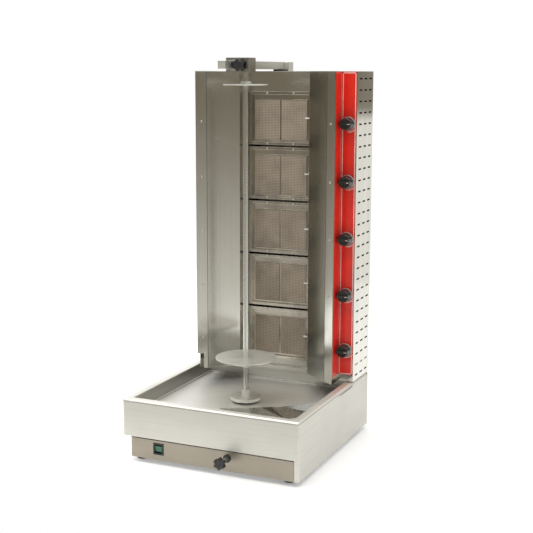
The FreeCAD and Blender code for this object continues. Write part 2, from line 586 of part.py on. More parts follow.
def star_knob(x, y_front, z, bore_depth, bore_radius):
    """Six-lobed hand knob whose front faces -Y."""
    lobe_circle = "(star_radius - star_lobe)"
    lobes = []
    for k in range(STAR_LOBES):
        angle = 360 * (k + 0.5) / STAR_LOBES
        centre = (f"{x} + {lobe_circle} * cos({angle} deg)", y_front,
                  f"{z} + {lobe_circle} * sin({angle} deg)")
        lobes.append(rod(centre, "star_lobe", "star_thick", "y"))
    neck = rod((x, f"{y_front} + star_thick", z), "star_neck", "star_neck_length", "y")
    rear = f"{y_front} + star_thick + star_neck_length"
    bore = rod((x, f"{rear} - ({bore_depth})", z), bore_radius, f"{bore_depth} + star_neck_length", "y")
    return cut(fuse(rod((x, y_front, z), lobe_circle, "star_thick", "y"), neck, *lobes), bore)


rod_knob_bore = "star_thick + star_neck_length - rod_start + fit_gap"
piece("rod_star_knob", star_knob("rod_x", "-rod_proud", "rod_z", rod_knob_bore, "rod_radius + run_gap"))

# ---------------------------------------------------------------- spit and discs
piece("spit_rod", rod((0, "spit_y", "spit_low"), "spit_radius", "spit_top - spit_low"))


def spit_disc(radius, top, hub_low, hub_length):
    """Thin disc with a clamping hub, bored for the spit."""
    plate = rod((0, "spit_y", f"{top} - disc_thick"), radius, "disc_thick")
    hub = rod((0, "spit_y", hub_low), "hub_radius", hub_length)
    return cut(fuse(plate, hub), rod((0, "spit_y", f"{top} - 2 * hub_tall"), "spit_radius + run_gap",
                                     "4 * hub_tall"))


hub_low = "low_disc_top - disc_thick - hub_tall"
screw_z = f"{hub_low} + t_screw_rise"
t_screw_front = "spit_y - hub_radius - t_screw_reach"
low_hole = rod((0, "spit_y - hub_radius - disc_thick", screw_z), "t_screw_radius + run_gap",
               "hub_radius + disc_thick", "y")
piece("lower_disc", cut(spit_disc("low_disc_radius", "low_disc_top", hub_low, "hub_tall"), low_hole))
shank = rod((0, t_screw_front, screw_z), "t_screw_radius",
            f"spit_y - spit_radius - 2 * fit_gap - ({t_screw_front})", "y")
piece("lower_disc_screw", fuse(shank, rod(("-t_bar_length / 2", t_screw_front, screw_z), "t_bar_radius",
                                          "t_bar_length", "x")))
high_z = "high_disc_top + set_screw_rise"
high_hole = rod((0, "spit_y", high_z), "set_screw_radius + run_gap", "hub_radius + disc_thick", "x")
high_plate = spit_disc("high_disc_radius", "high_disc_top", "high_disc_top", "cap_tall")
piece("upper_disc", cut(high_plate, high_hole))
piece("upper_disc_screw", rod(("spit_radius + 2 * fit_gap", "spit_y", high_z), "set_screw_radius",
                              "hub_radius - spit_radius + disc_thick", "x"))

# ---------------------------------------------------------------- arm over the spit
bar_half = "bar_side / 2"
bar_high = "bar_low + bar_side"
bar_sides = (f"bar_x - {bar_half}", f"bar_x + {bar_half}")
bar_end = "base_depth + post_plate"
post_end = f"{bar_end} + post_depth"
tube = box(bar_sides, ("bar_front", bar_end), ("bar_low", bar_high))
tube_hollow = box((f"{bar_sides[0]} + bar_wall", f"{bar_sides[1]} - bar_wall"),
                  ("bar_front + bar_wall", f"{bar_end} - bar_wall"),
                  ("bar_low + bar_wall", f"{bar_high} - bar_wall"))
piece("arm_bar", cut(tube, tube_hollow))
post_low = "house_top - post_drop"
post_sides = (bar_sides[0], f"{bar_sides[0]} + post_wide")
post = box(post_sides, (bar_end, post_end), (post_low, bar_high))
post_hollow = box((f"{post_sides[0]} + bar_wall", f"{post_sides[1]} - bar_wall"),
                  (f"{bar_end} + bar_wall", f"{post_end} - bar_wall"),
                  (f"{post_low} - bar_wall", f"{bar_high} - bar_wall"))
post_middle = f"{bar_sides[0]} + post_wide / 2"
post_plate = box((f"{post_middle} - plate_wide / 2", f"{post_middle} + plate_wide / 2"),
                 ("base_depth", bar_end), (post_low, "house_top - sheet"))
piece("arm_bracket", fuse(cut(post, post_hollow), post_plate))
piece("arm_pad", box(post_sides, ("base_depth - pad_front", "base_depth - pad_front + pad_depth"),
                     ("house_top", "bar_low")))
block = box(("-block_left", "block_right"), ("block_front", "block_front + block_depth"),
            ("block_low", "block_high"))
way = box((f"{bar_sides[0]} - run_gap", f"{bar_sides[1]} + run_gap"),
          ("block_front - bar_wall", "block_front + block_depth + bar_wall"),
          ("bar_low - run_gap", f"{bar_high} + run_gap"))
block_mid = "(block_low + block_high) / 2"
spit_bore = rod((0, "spit_y", "block_low - bar_wall"), "spit_radius + run_gap", "2 * block_depth")
lock_hole = rod(("lock_x", "block_front - bar_wall", block_mid), "lock_radius + run_gap",
                "spit_y - block_front", "y")
clamp_y = "block_front + block_depth / 2"
clamp_hole = rod(("-block_left - bar_wall", clamp_y, block_mid), "clamp_radius + run_gap",
                 f"block_left + bar_wall + {bar_sides[0]}", "x")
piece("arm_block", cut(block, way, spit_bore, lock_hole, clamp_hole))
lock_y = "block_front - lock_stand"
lock_start = f"{lock_y} + star_thick - bar_wall"
lock_screw = rod(("lock_x", lock_start, block_mid), "lock_radius",
                 f"spit_y - spit_radius - 2 * fit_gap - ({lock_start})", "y")
piece("spit_lock_knob", fuse(star_knob("lock_x", lock_y, block_mid, "bar_wall", "bar_wall"), lock_screw))
clamp_shank = "-block_left - clamp_stand - run_gap"
clamp = fuse(rod((f"{clamp_shank} - clamp_length", clamp_y, block_mid), "clamp_head", "clamp_length", "x"),
             rod((clamp_shank, clamp_y, block_mid), "clamp_radius",
                 f"{bar_sides[0]} - fit_gap - ({clamp_shank})", "x"))
piece("bar_clamp_screw", clamp)

# ---------------------------------------------------------------- switch, terminal box, gland
switch_sides = ("switch_x - switch_wide / 2", "switch_x + switch_wide / 2")
switch_ends = ("switch_z - switch_tall / 2", "switch_z + switch_tall / 2")


def inside_switch(margin, y):
    """Box within the switch's outline by a margin."""
    return box((f"{switch_sides[0]} + {margin}", f"{switch_sides[1]} - {margin}"), y,
               (f"{switch_ends[0]} + {margin}", f"{switch_ends[1]} - {margin}"))


bezel = fuse(box(switch_sides, ("plinth_setback - bezel_proud", "plinth_setback"), switch_ends),
             inside_switch("(bezel_lap + fit_gap)", ("plinth_setback", "plinth_setback + switch_depth")))
switch_well = inside_switch("(bezel_lap + switch_wall)",
                            ("-2 * bezel_proud", "plinth_setback + switch_depth - switch_wall"))
piece("switch_frame", cut(bezel, switch_well))
rocker_margin = "(bezel_lap + switch_wall + rocker_gap)"
rocker_end = (f"{switch_sides[0]} + {rocker_margin}", "plinth_setback + rocker_back", "switch_z")
piece("switch_rocker", rod(rocker_end, "rocker_radius", f"switch_wide - 2 * {rocker_margin}", "x"))
box_end = "base_depth - box_back"
piece("terminal_box", box(("gland_x - box_half", "gland_x + box_half"), (f"{box_end} - box_depth", box_end),
                          ("sheet", "box_top")))
gland = fuse(rod(("gland_x", box_end, "gland_z"), "gland_radius - run_gap", "box_back", "y"),
             rod(("gland_x", "base_depth", "gland_z"), "gland_nut_radius", "gland_nut", "y"),
             rod(("gland_x", "base_depth + gland_nut", "gland_z"), "gland_cap_radius", "gland_cap", "y"))
gland_way = rod(("gland_x", "base_depth - gland_radius", "gland_z"), "gland_bore",
                "gland_radius + box_back", "y")
piece("cable_gland", cut(gland, gland_way))

# ---------------------------------------------------------------- panel screws
screws = []
for sign, (tip_x, tip_y) in ((-1, left_tip), (1, right_tip)):
    for z in knob_heights:
        seat_place = (f"{sign} * ({tip_x} + wing_bend_x) / 2",
                      f"({tip_y} + wing_bend_y) / 2 + fit_gap - flange_screw_tall", z)
        screws.append(rod(seat_place, "flange_screw_radius", "flange_screw_tall", "y"))
for i in range(BURNERS):
    for sign in (-1, 1):
        for end in ("frame_screw_inset", "frame_tall - frame_screw_inset"):
            screws.append(rod((f"{sign} * frame_screw_x", "burner_face - frame_screw_tall",
                               f"burner_low + {i} * burner_pitch + {end}"),
                              "frame_screw_radius", "frame_screw_tall", "y"))
piece("panel_screws", group(*screws))

# ---------------------------------------------------------------- meat scoop lying in the tray
SCOOP_CORNERS = {
    "tip": (0, 0, 0), "crest": (122, 40, 7), "heel": (201, -18, 0), "bend_back": (140, 78, 0),
    "bend_front": (224, -12, 0), "lip_front": (260, 24, 0), "lip_back": (265, 82, 0),
    "wall_start": (167, 92, 0), "wall_top": (281, 110, 24),
}
SCOOP_FACETS = [("tip", "crest", "heel"), ("crest", "bend_back", "bend_front", "heel"),
                ("bend_back", "bend_front", "lip_front", "lip_back", "wall_start"),
                ("wall_start", "lip_back", "wall_top")]


def folded_scoop():
    """Sheet folded along straight lines, with its tip at the origin."""
    skin = value("scoop_skin")
    corner = {name: Vector(*place) for name, place in SCOOP_CORNERS.items()}
    shape = None
    for facet in SCOOP_FACETS:
        path = [corner[name] for name in facet]
        for k in range(1, len(path) - 1):
            wire = Part.makePolygon([path[0], path[k], path[k + 1], path[0]])
            solid = Part.Face(wire).extrude(Vector(0, 0, skin))
            shape = solid if shape is None else shape.fuse(solid)
    return shape.removeSplitter()


scoop = doc.addObject("Part::Feature", "Scoop")
scoop.Shape = folded_scoop()
seat(scoop, ("scoop_x", "scoop_y", "tray_floor + fit_gap"))
piece("meat_scoop", scoop)

# ---------------------------------------------------------------- checks and export
doc.recompute()
for item in doc.Objects:
    if "Invalid" in item.State or "Error" in item.State:
        raise RuntimeError(f"{item.Name} ({item.Label}) failed: {item.State}")
labels = [item.Label for item in pieces]
if len(set(labels)) != len(labels):
    raise RuntimeError("two pieces share a name")
os.makedirs("parts", exist_ok=True)
whole = FreeCAD.BoundBox()
for item in pieces:
    shape = item.Shape
    if shape.isNull() or not shape.isValid() or not shape.Solids:
        raise RuntimeError(f"{item.Label} has no valid solid")
    whole.add(shape.BoundBox)
    shape.exportStep(f"parts/{item.Label}.step")
print(len(pieces), "pieces", whole)
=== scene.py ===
import json
import math

import bmesh
import bpy
from bpy.props import FloatProperty, FloatVectorProperty, IntProperty, PointerProperty
from mathutils import Matrix, Vector

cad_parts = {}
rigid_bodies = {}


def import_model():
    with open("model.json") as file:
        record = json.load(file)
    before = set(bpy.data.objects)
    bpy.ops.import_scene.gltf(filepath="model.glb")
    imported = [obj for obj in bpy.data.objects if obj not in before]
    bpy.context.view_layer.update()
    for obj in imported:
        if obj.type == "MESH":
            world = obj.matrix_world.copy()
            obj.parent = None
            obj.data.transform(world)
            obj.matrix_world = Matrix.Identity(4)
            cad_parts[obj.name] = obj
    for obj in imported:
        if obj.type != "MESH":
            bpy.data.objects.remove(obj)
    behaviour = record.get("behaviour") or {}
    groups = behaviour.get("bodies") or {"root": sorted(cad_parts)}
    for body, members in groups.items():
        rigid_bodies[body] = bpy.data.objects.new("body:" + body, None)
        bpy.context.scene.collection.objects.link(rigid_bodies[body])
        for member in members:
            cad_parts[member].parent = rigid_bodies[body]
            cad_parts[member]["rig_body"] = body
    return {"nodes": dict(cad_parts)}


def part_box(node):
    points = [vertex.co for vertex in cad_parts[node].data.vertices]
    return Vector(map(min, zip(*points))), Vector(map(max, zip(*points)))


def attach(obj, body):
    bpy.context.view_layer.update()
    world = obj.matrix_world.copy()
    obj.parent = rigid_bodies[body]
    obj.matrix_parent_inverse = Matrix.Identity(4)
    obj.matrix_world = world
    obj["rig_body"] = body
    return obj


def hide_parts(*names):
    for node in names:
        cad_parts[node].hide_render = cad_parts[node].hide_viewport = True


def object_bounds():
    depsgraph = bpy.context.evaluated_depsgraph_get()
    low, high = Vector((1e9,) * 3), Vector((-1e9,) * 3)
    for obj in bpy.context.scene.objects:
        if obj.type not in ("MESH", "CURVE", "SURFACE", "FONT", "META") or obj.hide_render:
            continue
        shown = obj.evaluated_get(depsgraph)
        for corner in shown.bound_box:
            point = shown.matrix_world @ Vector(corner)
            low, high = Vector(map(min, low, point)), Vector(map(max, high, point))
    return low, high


bl_info = {
    "name": "Upright Spit Grill",
    "version": (1, 0, 0),
    "blender": (4, 5, 0),
    "location": "View3D > Sidebar > Spit Grill",
    "description": "Finishes and detailed pieces of a countertop gas grill with a vertical spit",
    "category": "Object",
}

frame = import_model()
CAD_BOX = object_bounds()
CASING_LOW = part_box("base_casing")[0]
BURNERS = range(1, 6)
MM = 0.001

# Filled by the finishes operator: materials by finish, and the effect groups that they share
FINISH = {}
GROUPS = {}

# Turned profiles in millimetres: radius, and distance along the axis
FOOT_TREAD = ((0, 1.2), (9, 1.2), (10.5, 0), (17.2, 0), (19, 2.5), (16.6, 15), (0, 15))
FOOT_STUD = ((0, 15.3), (3.9, 15.3), (3.9, 22), (3.1, 23), (0, 23))
STAR_CAP = ((0, 0.1), (5, 0.1), (8.2, 0.9), (8.6, 1.6), (0, 1.6))

# Hand knobs, in millimetres
STAR_RADIUS, STAR_DEPTH, STAR_LOBES = 18.5, 16, 6

# How often a sheet's grain changes along X, Y and Z, per metre
LEVEL_GRAIN = (3.0, 3.0, 620.0)
UPRIGHT_GRAIN = (430.0, 430.0, 2.5)
POLISHED_GRAIN = (30.0, 30.0, 4.0)
TRAY_GRAIN = (6.0, 420.0, 420.0)
SCOOP_GRAIN = (260.0, 14.0, 260.0)

# Surroundings, and the viewpoint: place in millimetres; yaw, pitch and roll in degrees; lens in millimetres
DIM_ROOM = (0.20, 0.170, 0.125)
BRIGHT_BENCH = (1.0, 0.99, 0.94)
CEILING = (0.95, 0.95, 0.93)
WALL_AHEAD = (-0.405, 0.914, 0.0)
VIEW_PLACE = (1400.4, -2735.3, 1148.6)
VIEW_TURN = (23.90, 10.04, 0.135)
VIEW_LENS = 73.79


def at(x, y, z):
    """Place of a point in millimetres from the spit's plane, the casing's front face and its underside."""
    return Vector((x * MM, CASING_LOW.y + y * MM, CASING_LOW.z + z * MM))


def from_front(low, high, y):
    """Middle of a box as seen from the front, at a depth y."""
    return Vector(((low.x + high.x) / 2, y, (low.z + high.z) / 2))


def from_above(low, high, z):
    """Middle of a box as seen from above, at a height z."""
    return Vector(((low.x + high.x) / 2, (low.y + high.y) / 2, z))


def half_width(low, high):
    """Half of a box's width, in millimetres."""
    return (high.x - low.x) / 2 / MM


# ---------------- settings
def tint(name, description, default):
    """Colour that a user can change."""
    return FloatVectorProperty(name=name, description=description, subtype="COLOR", default=default,
                               min=0, max=1)


def metres(name, description, default, least=0.0, most=1.0):
    """Length in metres that a user can change."""
    return FloatProperty(name=name, description=description, unit="LENGTH", default=default,
                         min=least, max=most)


class GrillColours(bpy.types.PropertyGroup):
    """Colours of the grill's finishes."""

    sheet: tint("Sheet", "Brushed stainless sheet", (0.66, 0.65, 0.60))
    # The plinth colour is darkened as painted shade: it stands in for the dim, shaded floor that the recessed
    # wall reflects below the casing's overhang.
    plinth: tint("Plinth", "Duller sheet of the recessed wall", (0.34, 0.305, 0.25))
    tray: tint("Tray", "Bright sheet of the drip tray", (0.72, 0.71, 0.67))
    turned: tint("Turned steel", "Spit, discs and bars", (0.665, 0.665, 0.62))
    heated: tint("Heated steel", "Burner frames, browned by heat", (0.68, 0.64, 0.56))
    plaque: tint("Plaque", "Infrared burner plaques", (0.36, 0.30, 0.235))
    enamel: tint("Enamel", "Red control fascia", (0.80, 0.025, 0.012))
    print: tint("Print", "Border and dial marks", (0.86, 0.74, 0.70))
    knob: tint("Knob", "Black knobs", (0.014, 0.014, 0.012))
    lens: tint("Lens", "Lighted rocker of the switch", (0.0, 0.13, 0.055))


class GrillSizes(bpy.types.PropertyGroup):
    """Sizes of the detail that the pieces carry."""

    sheet_edge: metres("Sheet edge", "Rounding of sheared sheet edges", 0.0004, 0.0001, 0.0007)
    bar_edge: metres("Bar edge", "Rounding of bars and blocks", 0.0012, 0.0002, 0.004)
    moulded_edge: metres("Moulded edge", "Rounding of knobs and grips", 0.0014, 0.0002, 0.003)
    plaque_pitch: metres("Plaque pitch", "Distance between a plaque's holes", 0.0052, 0.001, 0.009)
    round_steps: IntProperty(name="Round steps", description="Sides of a turned piece", default=64,
                             min=24, max=128)


# ---------------- shader nodes
def add(tree, kind, inputs=None, **settings):
    """New shader node with its settings, and its inputs given as numbers or as sockets to link."""
    made = tree.nodes.new("ShaderNode" + kind)
    for key, setting in settings.items():
        setattr(made, key, setting)
    for key, given in (inputs or {}).items():
        if isinstance(given, bpy.types.NodeSocket):
            tree.links.new(given, made.inputs[key])
        else:
            made.inputs[key].default_value = given
    return made


def math_node(tree, operation, a, b=0.0):
    """Result of one sum or product of sockets or numbers."""
    return add(tree, "Math", {0: a, 1: b}, operation=operation).outputs[0]


def spread(tree, value, low, high, to_low=0.0, to_high=1.0):
    """The value's range from low to high, stretched to another range and clamped."""
    ranges = {"Value": value, "From Min": low, "From Max": high, "To Min": to_low, "To Max": to_high}
    return add(tree, "MapRange", ranges).outputs[0]


def mixed(tree, factor, a, b):
    """Colour between a and b."""
    made = add(tree, "Mix", {0: factor}, data_type="RGBA")
    for socket, given in ((made.inputs[6], a), (made.inputs[7], b)):
        if isinstance(given, bpy.types.NodeSocket):
            tree.links.new(given, socket)
        else:
            socket.default_value = (*given[:3], 1.0)
    return made.outputs[2]


def shade(colour, factor):
    """Darker or lighter colour."""
    return tuple(min(1.0, part * factor) for part in colour)


def effect(name, setting, default, *results):
    """Empty shader node group: coordinates and one number in, named numbers out."""
    group = bpy.data.node_groups.new(name, "ShaderNodeTree")
    new_socket = group.interface.new_socket
    new_socket(name="Coordinates", in_out="INPUT", socket_type="NodeSocketVector")
    new_socket(name=setting, in_out="INPUT", socket_type="NodeSocketFloat").default_value = default
    for label in results:
        new_socket(name=label, in_out="OUTPUT", socket_type="NodeSocketFloat")
    return group, group.nodes.new("NodeGroupInput").outputs, group.nodes.new("NodeGroupOutput").inputs


def brushed_grain():
    """Streaks of a grained sheet, for coordinates already stretched along the grain."""
    group, given, out = effect("Brushed grain", "Scale", 1.0, "Streaks", "Height")
    wide = add(group, "TexNoise", {"Vector": given["Coordinates"], "Scale": given["Scale"],
                                   "Detail": 2.0, "Roughness": 0.6})
    fine_scale = math_node(group, "MULTIPLY", given["Scale"], 3.1)
    fine = add(group, "TexNoise", {"Vector": given["Coordinates"], "Scale": fine_scale,
                                   "Detail": 3.0, "Roughness": 0.7})
    both = math_node(group, "ADD", math_node(group, "MULTIPLY", wide.outputs[0], 0.6),
                     math_node(group, "MULTIPLY", fine.outputs[0], 0.4))
    group.links.new(spread(group, both, 0.32, 0.68), out["Streaks"])
    group.links.new(fine.outputs[0], out["Height"])
    return group


def handling_marks():
    """Soft blotches that wiping and fingers leave, and sparse fine scratches."""
    group, given, out = effect("Handling marks", "Size", 9.0, "Blotches", "Scratches")
    cloud = add(group, "TexNoise", {"Vector": given["Coordinates"], "Scale": given["Size"],
                                    "Detail": 5.0, "Roughness": 0.55, "Distortion": 0.4})
    group.links.new(spread(group, cloud.outputs[0], 0.42, 0.68), out["Blotches"])
    cell = add(group, "TexVoronoi", {"Vector": given["Coordinates"],
                                     "Scale": math_node(group, "MULTIPLY", given["Size"], 5.0)},
               feature="DISTANCE_TO_EDGE")
    thin = spread(group, cell.outputs["Distance"], 0.0, 0.012, 1.0, 0.0)
    group.links.new(math_node(group, "MULTIPLY", thin, spread(group, cloud.outputs[0], 0.5, 0.6)),
                    out["Scratches"])
    return group


def hole_grid():
    """Mask of a regular field of holes on the XZ plane, a given pitch apart."""
    group, given, out = effect("Hole grid", "Pitch", 0.003, "Holes", "Ribs")
    part = add(group, "SeparateXYZ", {0: given["Coordinates"]})
    flat = add(group, "CombineXYZ", {0: part.outputs[0], 1: part.outputs[2]})
    cells = add(group, "TexVoronoi", {"Vector": flat.outputs[0], "Randomness": 0.0,
                                      "Scale": math_node(group, "DIVIDE", 1.0, given["Pitch"])},
                voronoi_dimensions="2D", distance="CHEBYCHEV")
    group.links.new(spread(group, cells.outputs["Distance"], 0.27, 0.42), out["Holes"])
    rib = add(group, "TexWave", {"Vector": given["Coordinates"], "Scale": 18.0, "Distortion": 0.0},
              bands_direction="Z")
    group.links.new(rib.outputs[1], out["Ribs"])
    return group


def moulded_skin():
    """Fine uneven skin of moulded plastic, rubber or enamel."""
    group, given, out = effect("Moulded skin", "Scale", 900.0, "Height", "Patches")
    grain = add(group, "TexNoise", {"Vector": given["Coordinates"], "Scale": given["Scale"], "Detail": 2.0})
    patch = add(group, "TexNoise", {"Vector": given["Coordinates"], "Scale": 22.0, "Detail": 4.0})
    group.links.new(grain.outputs[0], out["Height"])
    group.links.new(spread(group, patch.outputs[0], 0.35, 0.65), out["Patches"])
    return group


def placed(tree, group, coordinates, **values):
    """Effect group in a material, with its coordinates and its own values."""
    made = add(tree, "Group", node_tree=group)
    tree.links.new(coordinates, made.inputs["Coordinates"])
    for key, given in values.items():
        made.inputs[key].default_value = given
    return made.outputs


def material(name, metallic=0.0, roughness=0.5, **sockets):
    """New material with a Principled shader. Returns it, its tree, its shader and its object coordinates."""
    made = bpy.data.materials.new(name)
    made.use_nodes = True
    tree = made.node_tree
    tree.nodes.clear()
    shader = add(tree, "BsdfPrincipled", {"Metallic": metallic, "Roughness": roughness, **sockets})
    output = add(tree, "OutputMaterial")
    tree.links.new(shader.outputs[0], output.inputs[0])
    coordinates = add(tree, "TexCoord").outputs["Object"]
    return made, tree, shader, coordinates


def surface(tree, shader, colour, roughness, height, depth, strength=0.5):
    """Give a shader its colour, its roughness and a relief of a real depth in metres."""
    relief = add(tree, "Bump", {"Height": height, "Distance": depth, "Strength": strength}).outputs[0]
    for label, source in (("Base Color", colour), ("Roughness", roughness), ("Normal", relief)):
        if source is not None:
            tree.links.new(source, shader.inputs[label])


def steel(name, colour, roughness, grain, depth=0.00002, spread_of_roughness=0.10, marks=0.10):
    """Metal with a grain: the three numbers of grain are how often it changes along each axis, per metre."""
    made, tree, shader, coordinates = material(name, metallic=1.0)
    stretched = add(tree, "Mapping", {"Vector": coordinates, "Scale": grain}).outputs[0]
    streaks = placed(tree, GROUPS["grain"], stretched, Scale=1.0)
    blots = placed(tree, GROUPS["marks"], coordinates, Size=7.0)
    toned = mixed(tree, streaks["Streaks"], shade(colour, 0.90), shade(colour, 1.04))
    toned = mixed(tree, math_node(tree, "MULTIPLY", blots["Blotches"], marks), toned, shade(colour, 0.72))
    rough = spread(tree, streaks["Streaks"], 0.0, 1.0, roughness + spread_of_roughness, roughness)
    rough = math_node(tree, "ADD", rough, math_node(tree, "MULTIPLY", blots["Blotches"], marks * 0.6))
    rough = math_node(tree, "ADD", rough, math_node(tree, "MULTIPLY", blots["Scratches"], 0.08))
    surface(tree, shader, toned, rough, streaks["Height"], depth)
    return made


def turned_steel(name, colour, roughness, centre, pitch=0.0007):
    """Lathe-turned face: fine rings round an upright axis through centre."""
    made, tree, shader, coordinates = material(name, metallic=1.0)
    about = add(tree, "Mapping", {"Vector": coordinates, "Location": (-centre.x, -centre.y, 0.0)})
    part = add(tree, "SeparateXYZ", {0: about.outputs[0]})
    flat = add(tree, "CombineXYZ", {0: part.outputs[0], 1: part.outputs[1]})
    radius = add(tree, "VectorMath", {0: flat.outputs[0]}, operation="LENGTH").outputs["Value"]
    rings = add(tree, "TexNoise", {"W": radius, "Scale": 1.0 / pitch, "Detail": 3.0},
                noise_dimensions="1D").outputs[0]
    blots = placed(tree, GROUPS["marks"], coordinates, Size=16.0)
    surface(tree, shader, mixed(tree, blots["Blotches"], shade(colour, 1.03), shade(colour, 0.86)),
            spread(tree, rings, 0.3, 0.7, roughness, roughness + 0.12), rings, 0.00002)
    return made


def plaque_ceramic(colour, pitch):
    """Pale fibre ceramic darkened by use, with a field of burner holes painted near-black as painted shade.
    """
    made, tree, shader, coordinates = material("plaque ceramic", roughness=0.85)
    holes = placed(tree, GROUPS["holes"], coordinates, Pitch=pitch)
    blots = placed(tree, GROUPS["marks"], coordinates, Size=14.0)
    fired_and_hole_shade = mixed(tree, blots["Blotches"], shade(colour, 1.12), shade(colour, 0.80))
    # The holes are painted near-black: painted shade inside them.
    fired_and_hole_shade = mixed(tree, math_node(tree, "MULTIPLY", holes["Holes"], 0.62), fired_and_hole_shade, shade(colour, 0.25))
    relief = math_node(tree, "SUBTRACT", math_node(tree, "MULTIPLY", holes["Ribs"], 0.4), holes["Holes"])
    surface(tree, shader, fired_and_hole_shade, None, relief, 0.0004, 0.6)
    return made


def heated_steel(colour):
    """Stainless frame browned and blued where it runs hot."""
    made, tree, shader, coordinates = material("heated steel", metallic=1.0)
    stretched = add(tree, "Mapping", {"Vector": coordinates, "Scale": (6.0, 6.0, 500.0)}).outputs[0]
    streaks = placed(tree, GROUPS["grain"], stretched, Scale=1.0)
    blots = placed(tree, GROUPS["marks"], coordinates, Size=11.0)
    browned = mixed(tree, blots["Blotches"], colour, shade(colour, 0.6))
    blued = mixed(tree, math_node(tree, "MULTIPLY", streaks["Streaks"], 0.25), browned, (0.33, 0.34, 0.37))
    surface(tree, shader, blued, spread(tree, blots["Blotches"], 0.0, 1.0, 0.12, 0.24), streaks["Height"],
            0.000008)
    return made


def plastic(name, colour, roughness, skin=900.0, depth=0.00004, **sockets):
    """Moulded plastic, rubber or enamel, slightly uneven in tone and gloss."""
    made, tree, shader, coordinates = material(name, **sockets)
    uneven = placed(tree, GROUPS["skin"], coordinates, Scale=skin)
    surface(tree, shader, mixed(tree, uneven["Patches"], shade(colour, 0.92), shade(colour, 1.08)),
            spread(tree, uneven["Patches"], 0.0, 1.0, roughness, roughness + 0.08), uneven["Height"], depth)
    return made


def coat(weight, roughness=0.03):
    """Clear coat over a moulding or an enamel."""
    return {"Coat Weight": weight, "Coat Roughness": roughness}


def spangled_zinc():
    """Galvanised sheet with its crystal spangle."""
    made, tree, shader, coordinates = material("spangled zinc", metallic=1.0)
    cells = add(tree, "TexVoronoi", {"Vector": coordinates, "Scale": 90.0})
    tone = add(tree, "SeparateColor", {0: cells.outputs["Color"]}).outputs[0]
    surface(tree, shader, mixed(tree, tone, (0.44, 0.45, 0.47), (0.62, 0.63, 0.64)),
            spread(tree, tone, 0.0, 1.0, 0.32, 0.5), cells.outputs["Distance"], 0.00003)
    return made


# ---------------- mesh helpers
AXES = {"x": Vector((1, 0, 0)), "y": Vector((0, 1, 0)), "z": Vector((0, 0, 1))}
RADIAL = {"x": Vector((0, 0, 1)), "y": Vector((1, 0, 0)), "z": Vector((1, 0, 0))}


def turned(bm, centre, axis, profile, steps=None, closed=False):
    """Solid of revolution. The profile holds pairs in millimetres: radius, and distance along the axis."""
    steps = steps or bpy.context.scene.grill_sizes.round_steps
    corners = [bm.verts.new(centre + RADIAL[axis] * radius * MM + AXES[axis] * along * MM)
               for radius, along in profile]
    path = list(zip(corners, corners[1:])) + ([(corners[-1], corners[0])] if closed else [])
    edges = [bm.edges.new(pair) for pair in path]
    bmesh.ops.spin(bm, geom=corners + edges, cent=centre, axis=AXES[axis], angle=2 * math.pi, steps=steps,
                   use_merge=True)
    bmesh.ops.remove_doubles(bm, verts=bm.verts, dist=1e-6)


def block(bm, low, high):
    """Box between two corners. Returns its vertices."""
    low, high = Vector(low), Vector(high)
    made = bmesh.ops.create_cube(bm, size=1.0)["verts"]
    bmesh.ops.scale(bm, vec=high - low, verts=made)
    bmesh.ops.translate(bm, vec=(high + low) / 2, verts=made)
    return made


def faces_of(verts):
    """Faces that some vertices belong to."""
    return {face for vert in verts for face in vert.link_faces}


def ease_edges(bm, width, segments=2, angle=25):
    """Round the edges where two faces meet at more than an angle."""
    bmesh.ops.recalc_face_normals(bm, faces=bm.faces)
    sharp = [e for e in bm.edges if len(e.link_faces) == 2 and e.calc_face_angle(0) > math.radians(angle)]
    bmesh.ops.bevel(bm, geom=sharp, offset=width, offset_type="OFFSET", segments=segments, profile=0.5,
                    affect="EDGES", material=-1, clamp_overlap=True)


def settle(bm, name, body, finishes, stands_for=(), recalculate=True, sharp=32):
    """Turn a bmesh into a finished piece on its body."""
    if not bm.faces:
        raise RuntimeError(f"{name} has no faces")
    if recalculate:
        bmesh.ops.recalc_face_normals(bm, faces=bm.faces)
    mesh = bpy.data.meshes.new(name)
    bm.to_mesh(mesh)
    bm.free()
    for finish in finishes:
        mesh.materials.append(FINISH[finish])
    mesh.shade_smooth()
    mesh.set_sharp_from_angle(angle=math.radians(sharp))
    piece = bpy.data.objects.new(name, mesh)
    bpy.context.scene.collection.objects.link(piece)
    piece.modifiers.new("flat faces", "WEIGHTED_NORMAL").keep_sharp = True
    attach(piece, body)
    if stands_for:
        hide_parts(*stands_for)
    return piece


def eased(node, width, finish, angle=30, segments=2, sharp=32):
    """Copy of a CAD node with its sharp edges rounded, shown in the node's place."""
    source = frame["nodes"][node]
    bm = bmesh.new()
    bm.from_mesh(source.data)
    bmesh.ops.remove_doubles(bm, verts=bm.verts, dist=1e-6)
    bmesh.ops.dissolve_limit(bm, angle_limit=math.radians(1), verts=bm.verts, edges=bm.edges)
    ease_edges(bm, width, segments, angle)
    bmesh.ops.triangulate(bm, faces=[f for f in bm.faces if len(f.verts) > 4])
    return settle(bm, f"{node}_shell", source["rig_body"], [finish], [node], recalculate=False,
                  sharp=sharp)


def set_apart(piece, finish, wanted):
    """Give the faces that pass a test a finish of their own."""
    piece.data.materials.append(FINISH[finish])
    for face in piece.data.polygons:
        if wanted(face):
            face.material_index = len(piece.data.materials) - 1


def refinish(finish, *nodes):
    """Give CAD nodes a finish and keep their meshes."""
    for node in nodes:
        slots = frame["nodes"][node].data.materials
        slots.clear()
        slots.append(FINISH[finish])


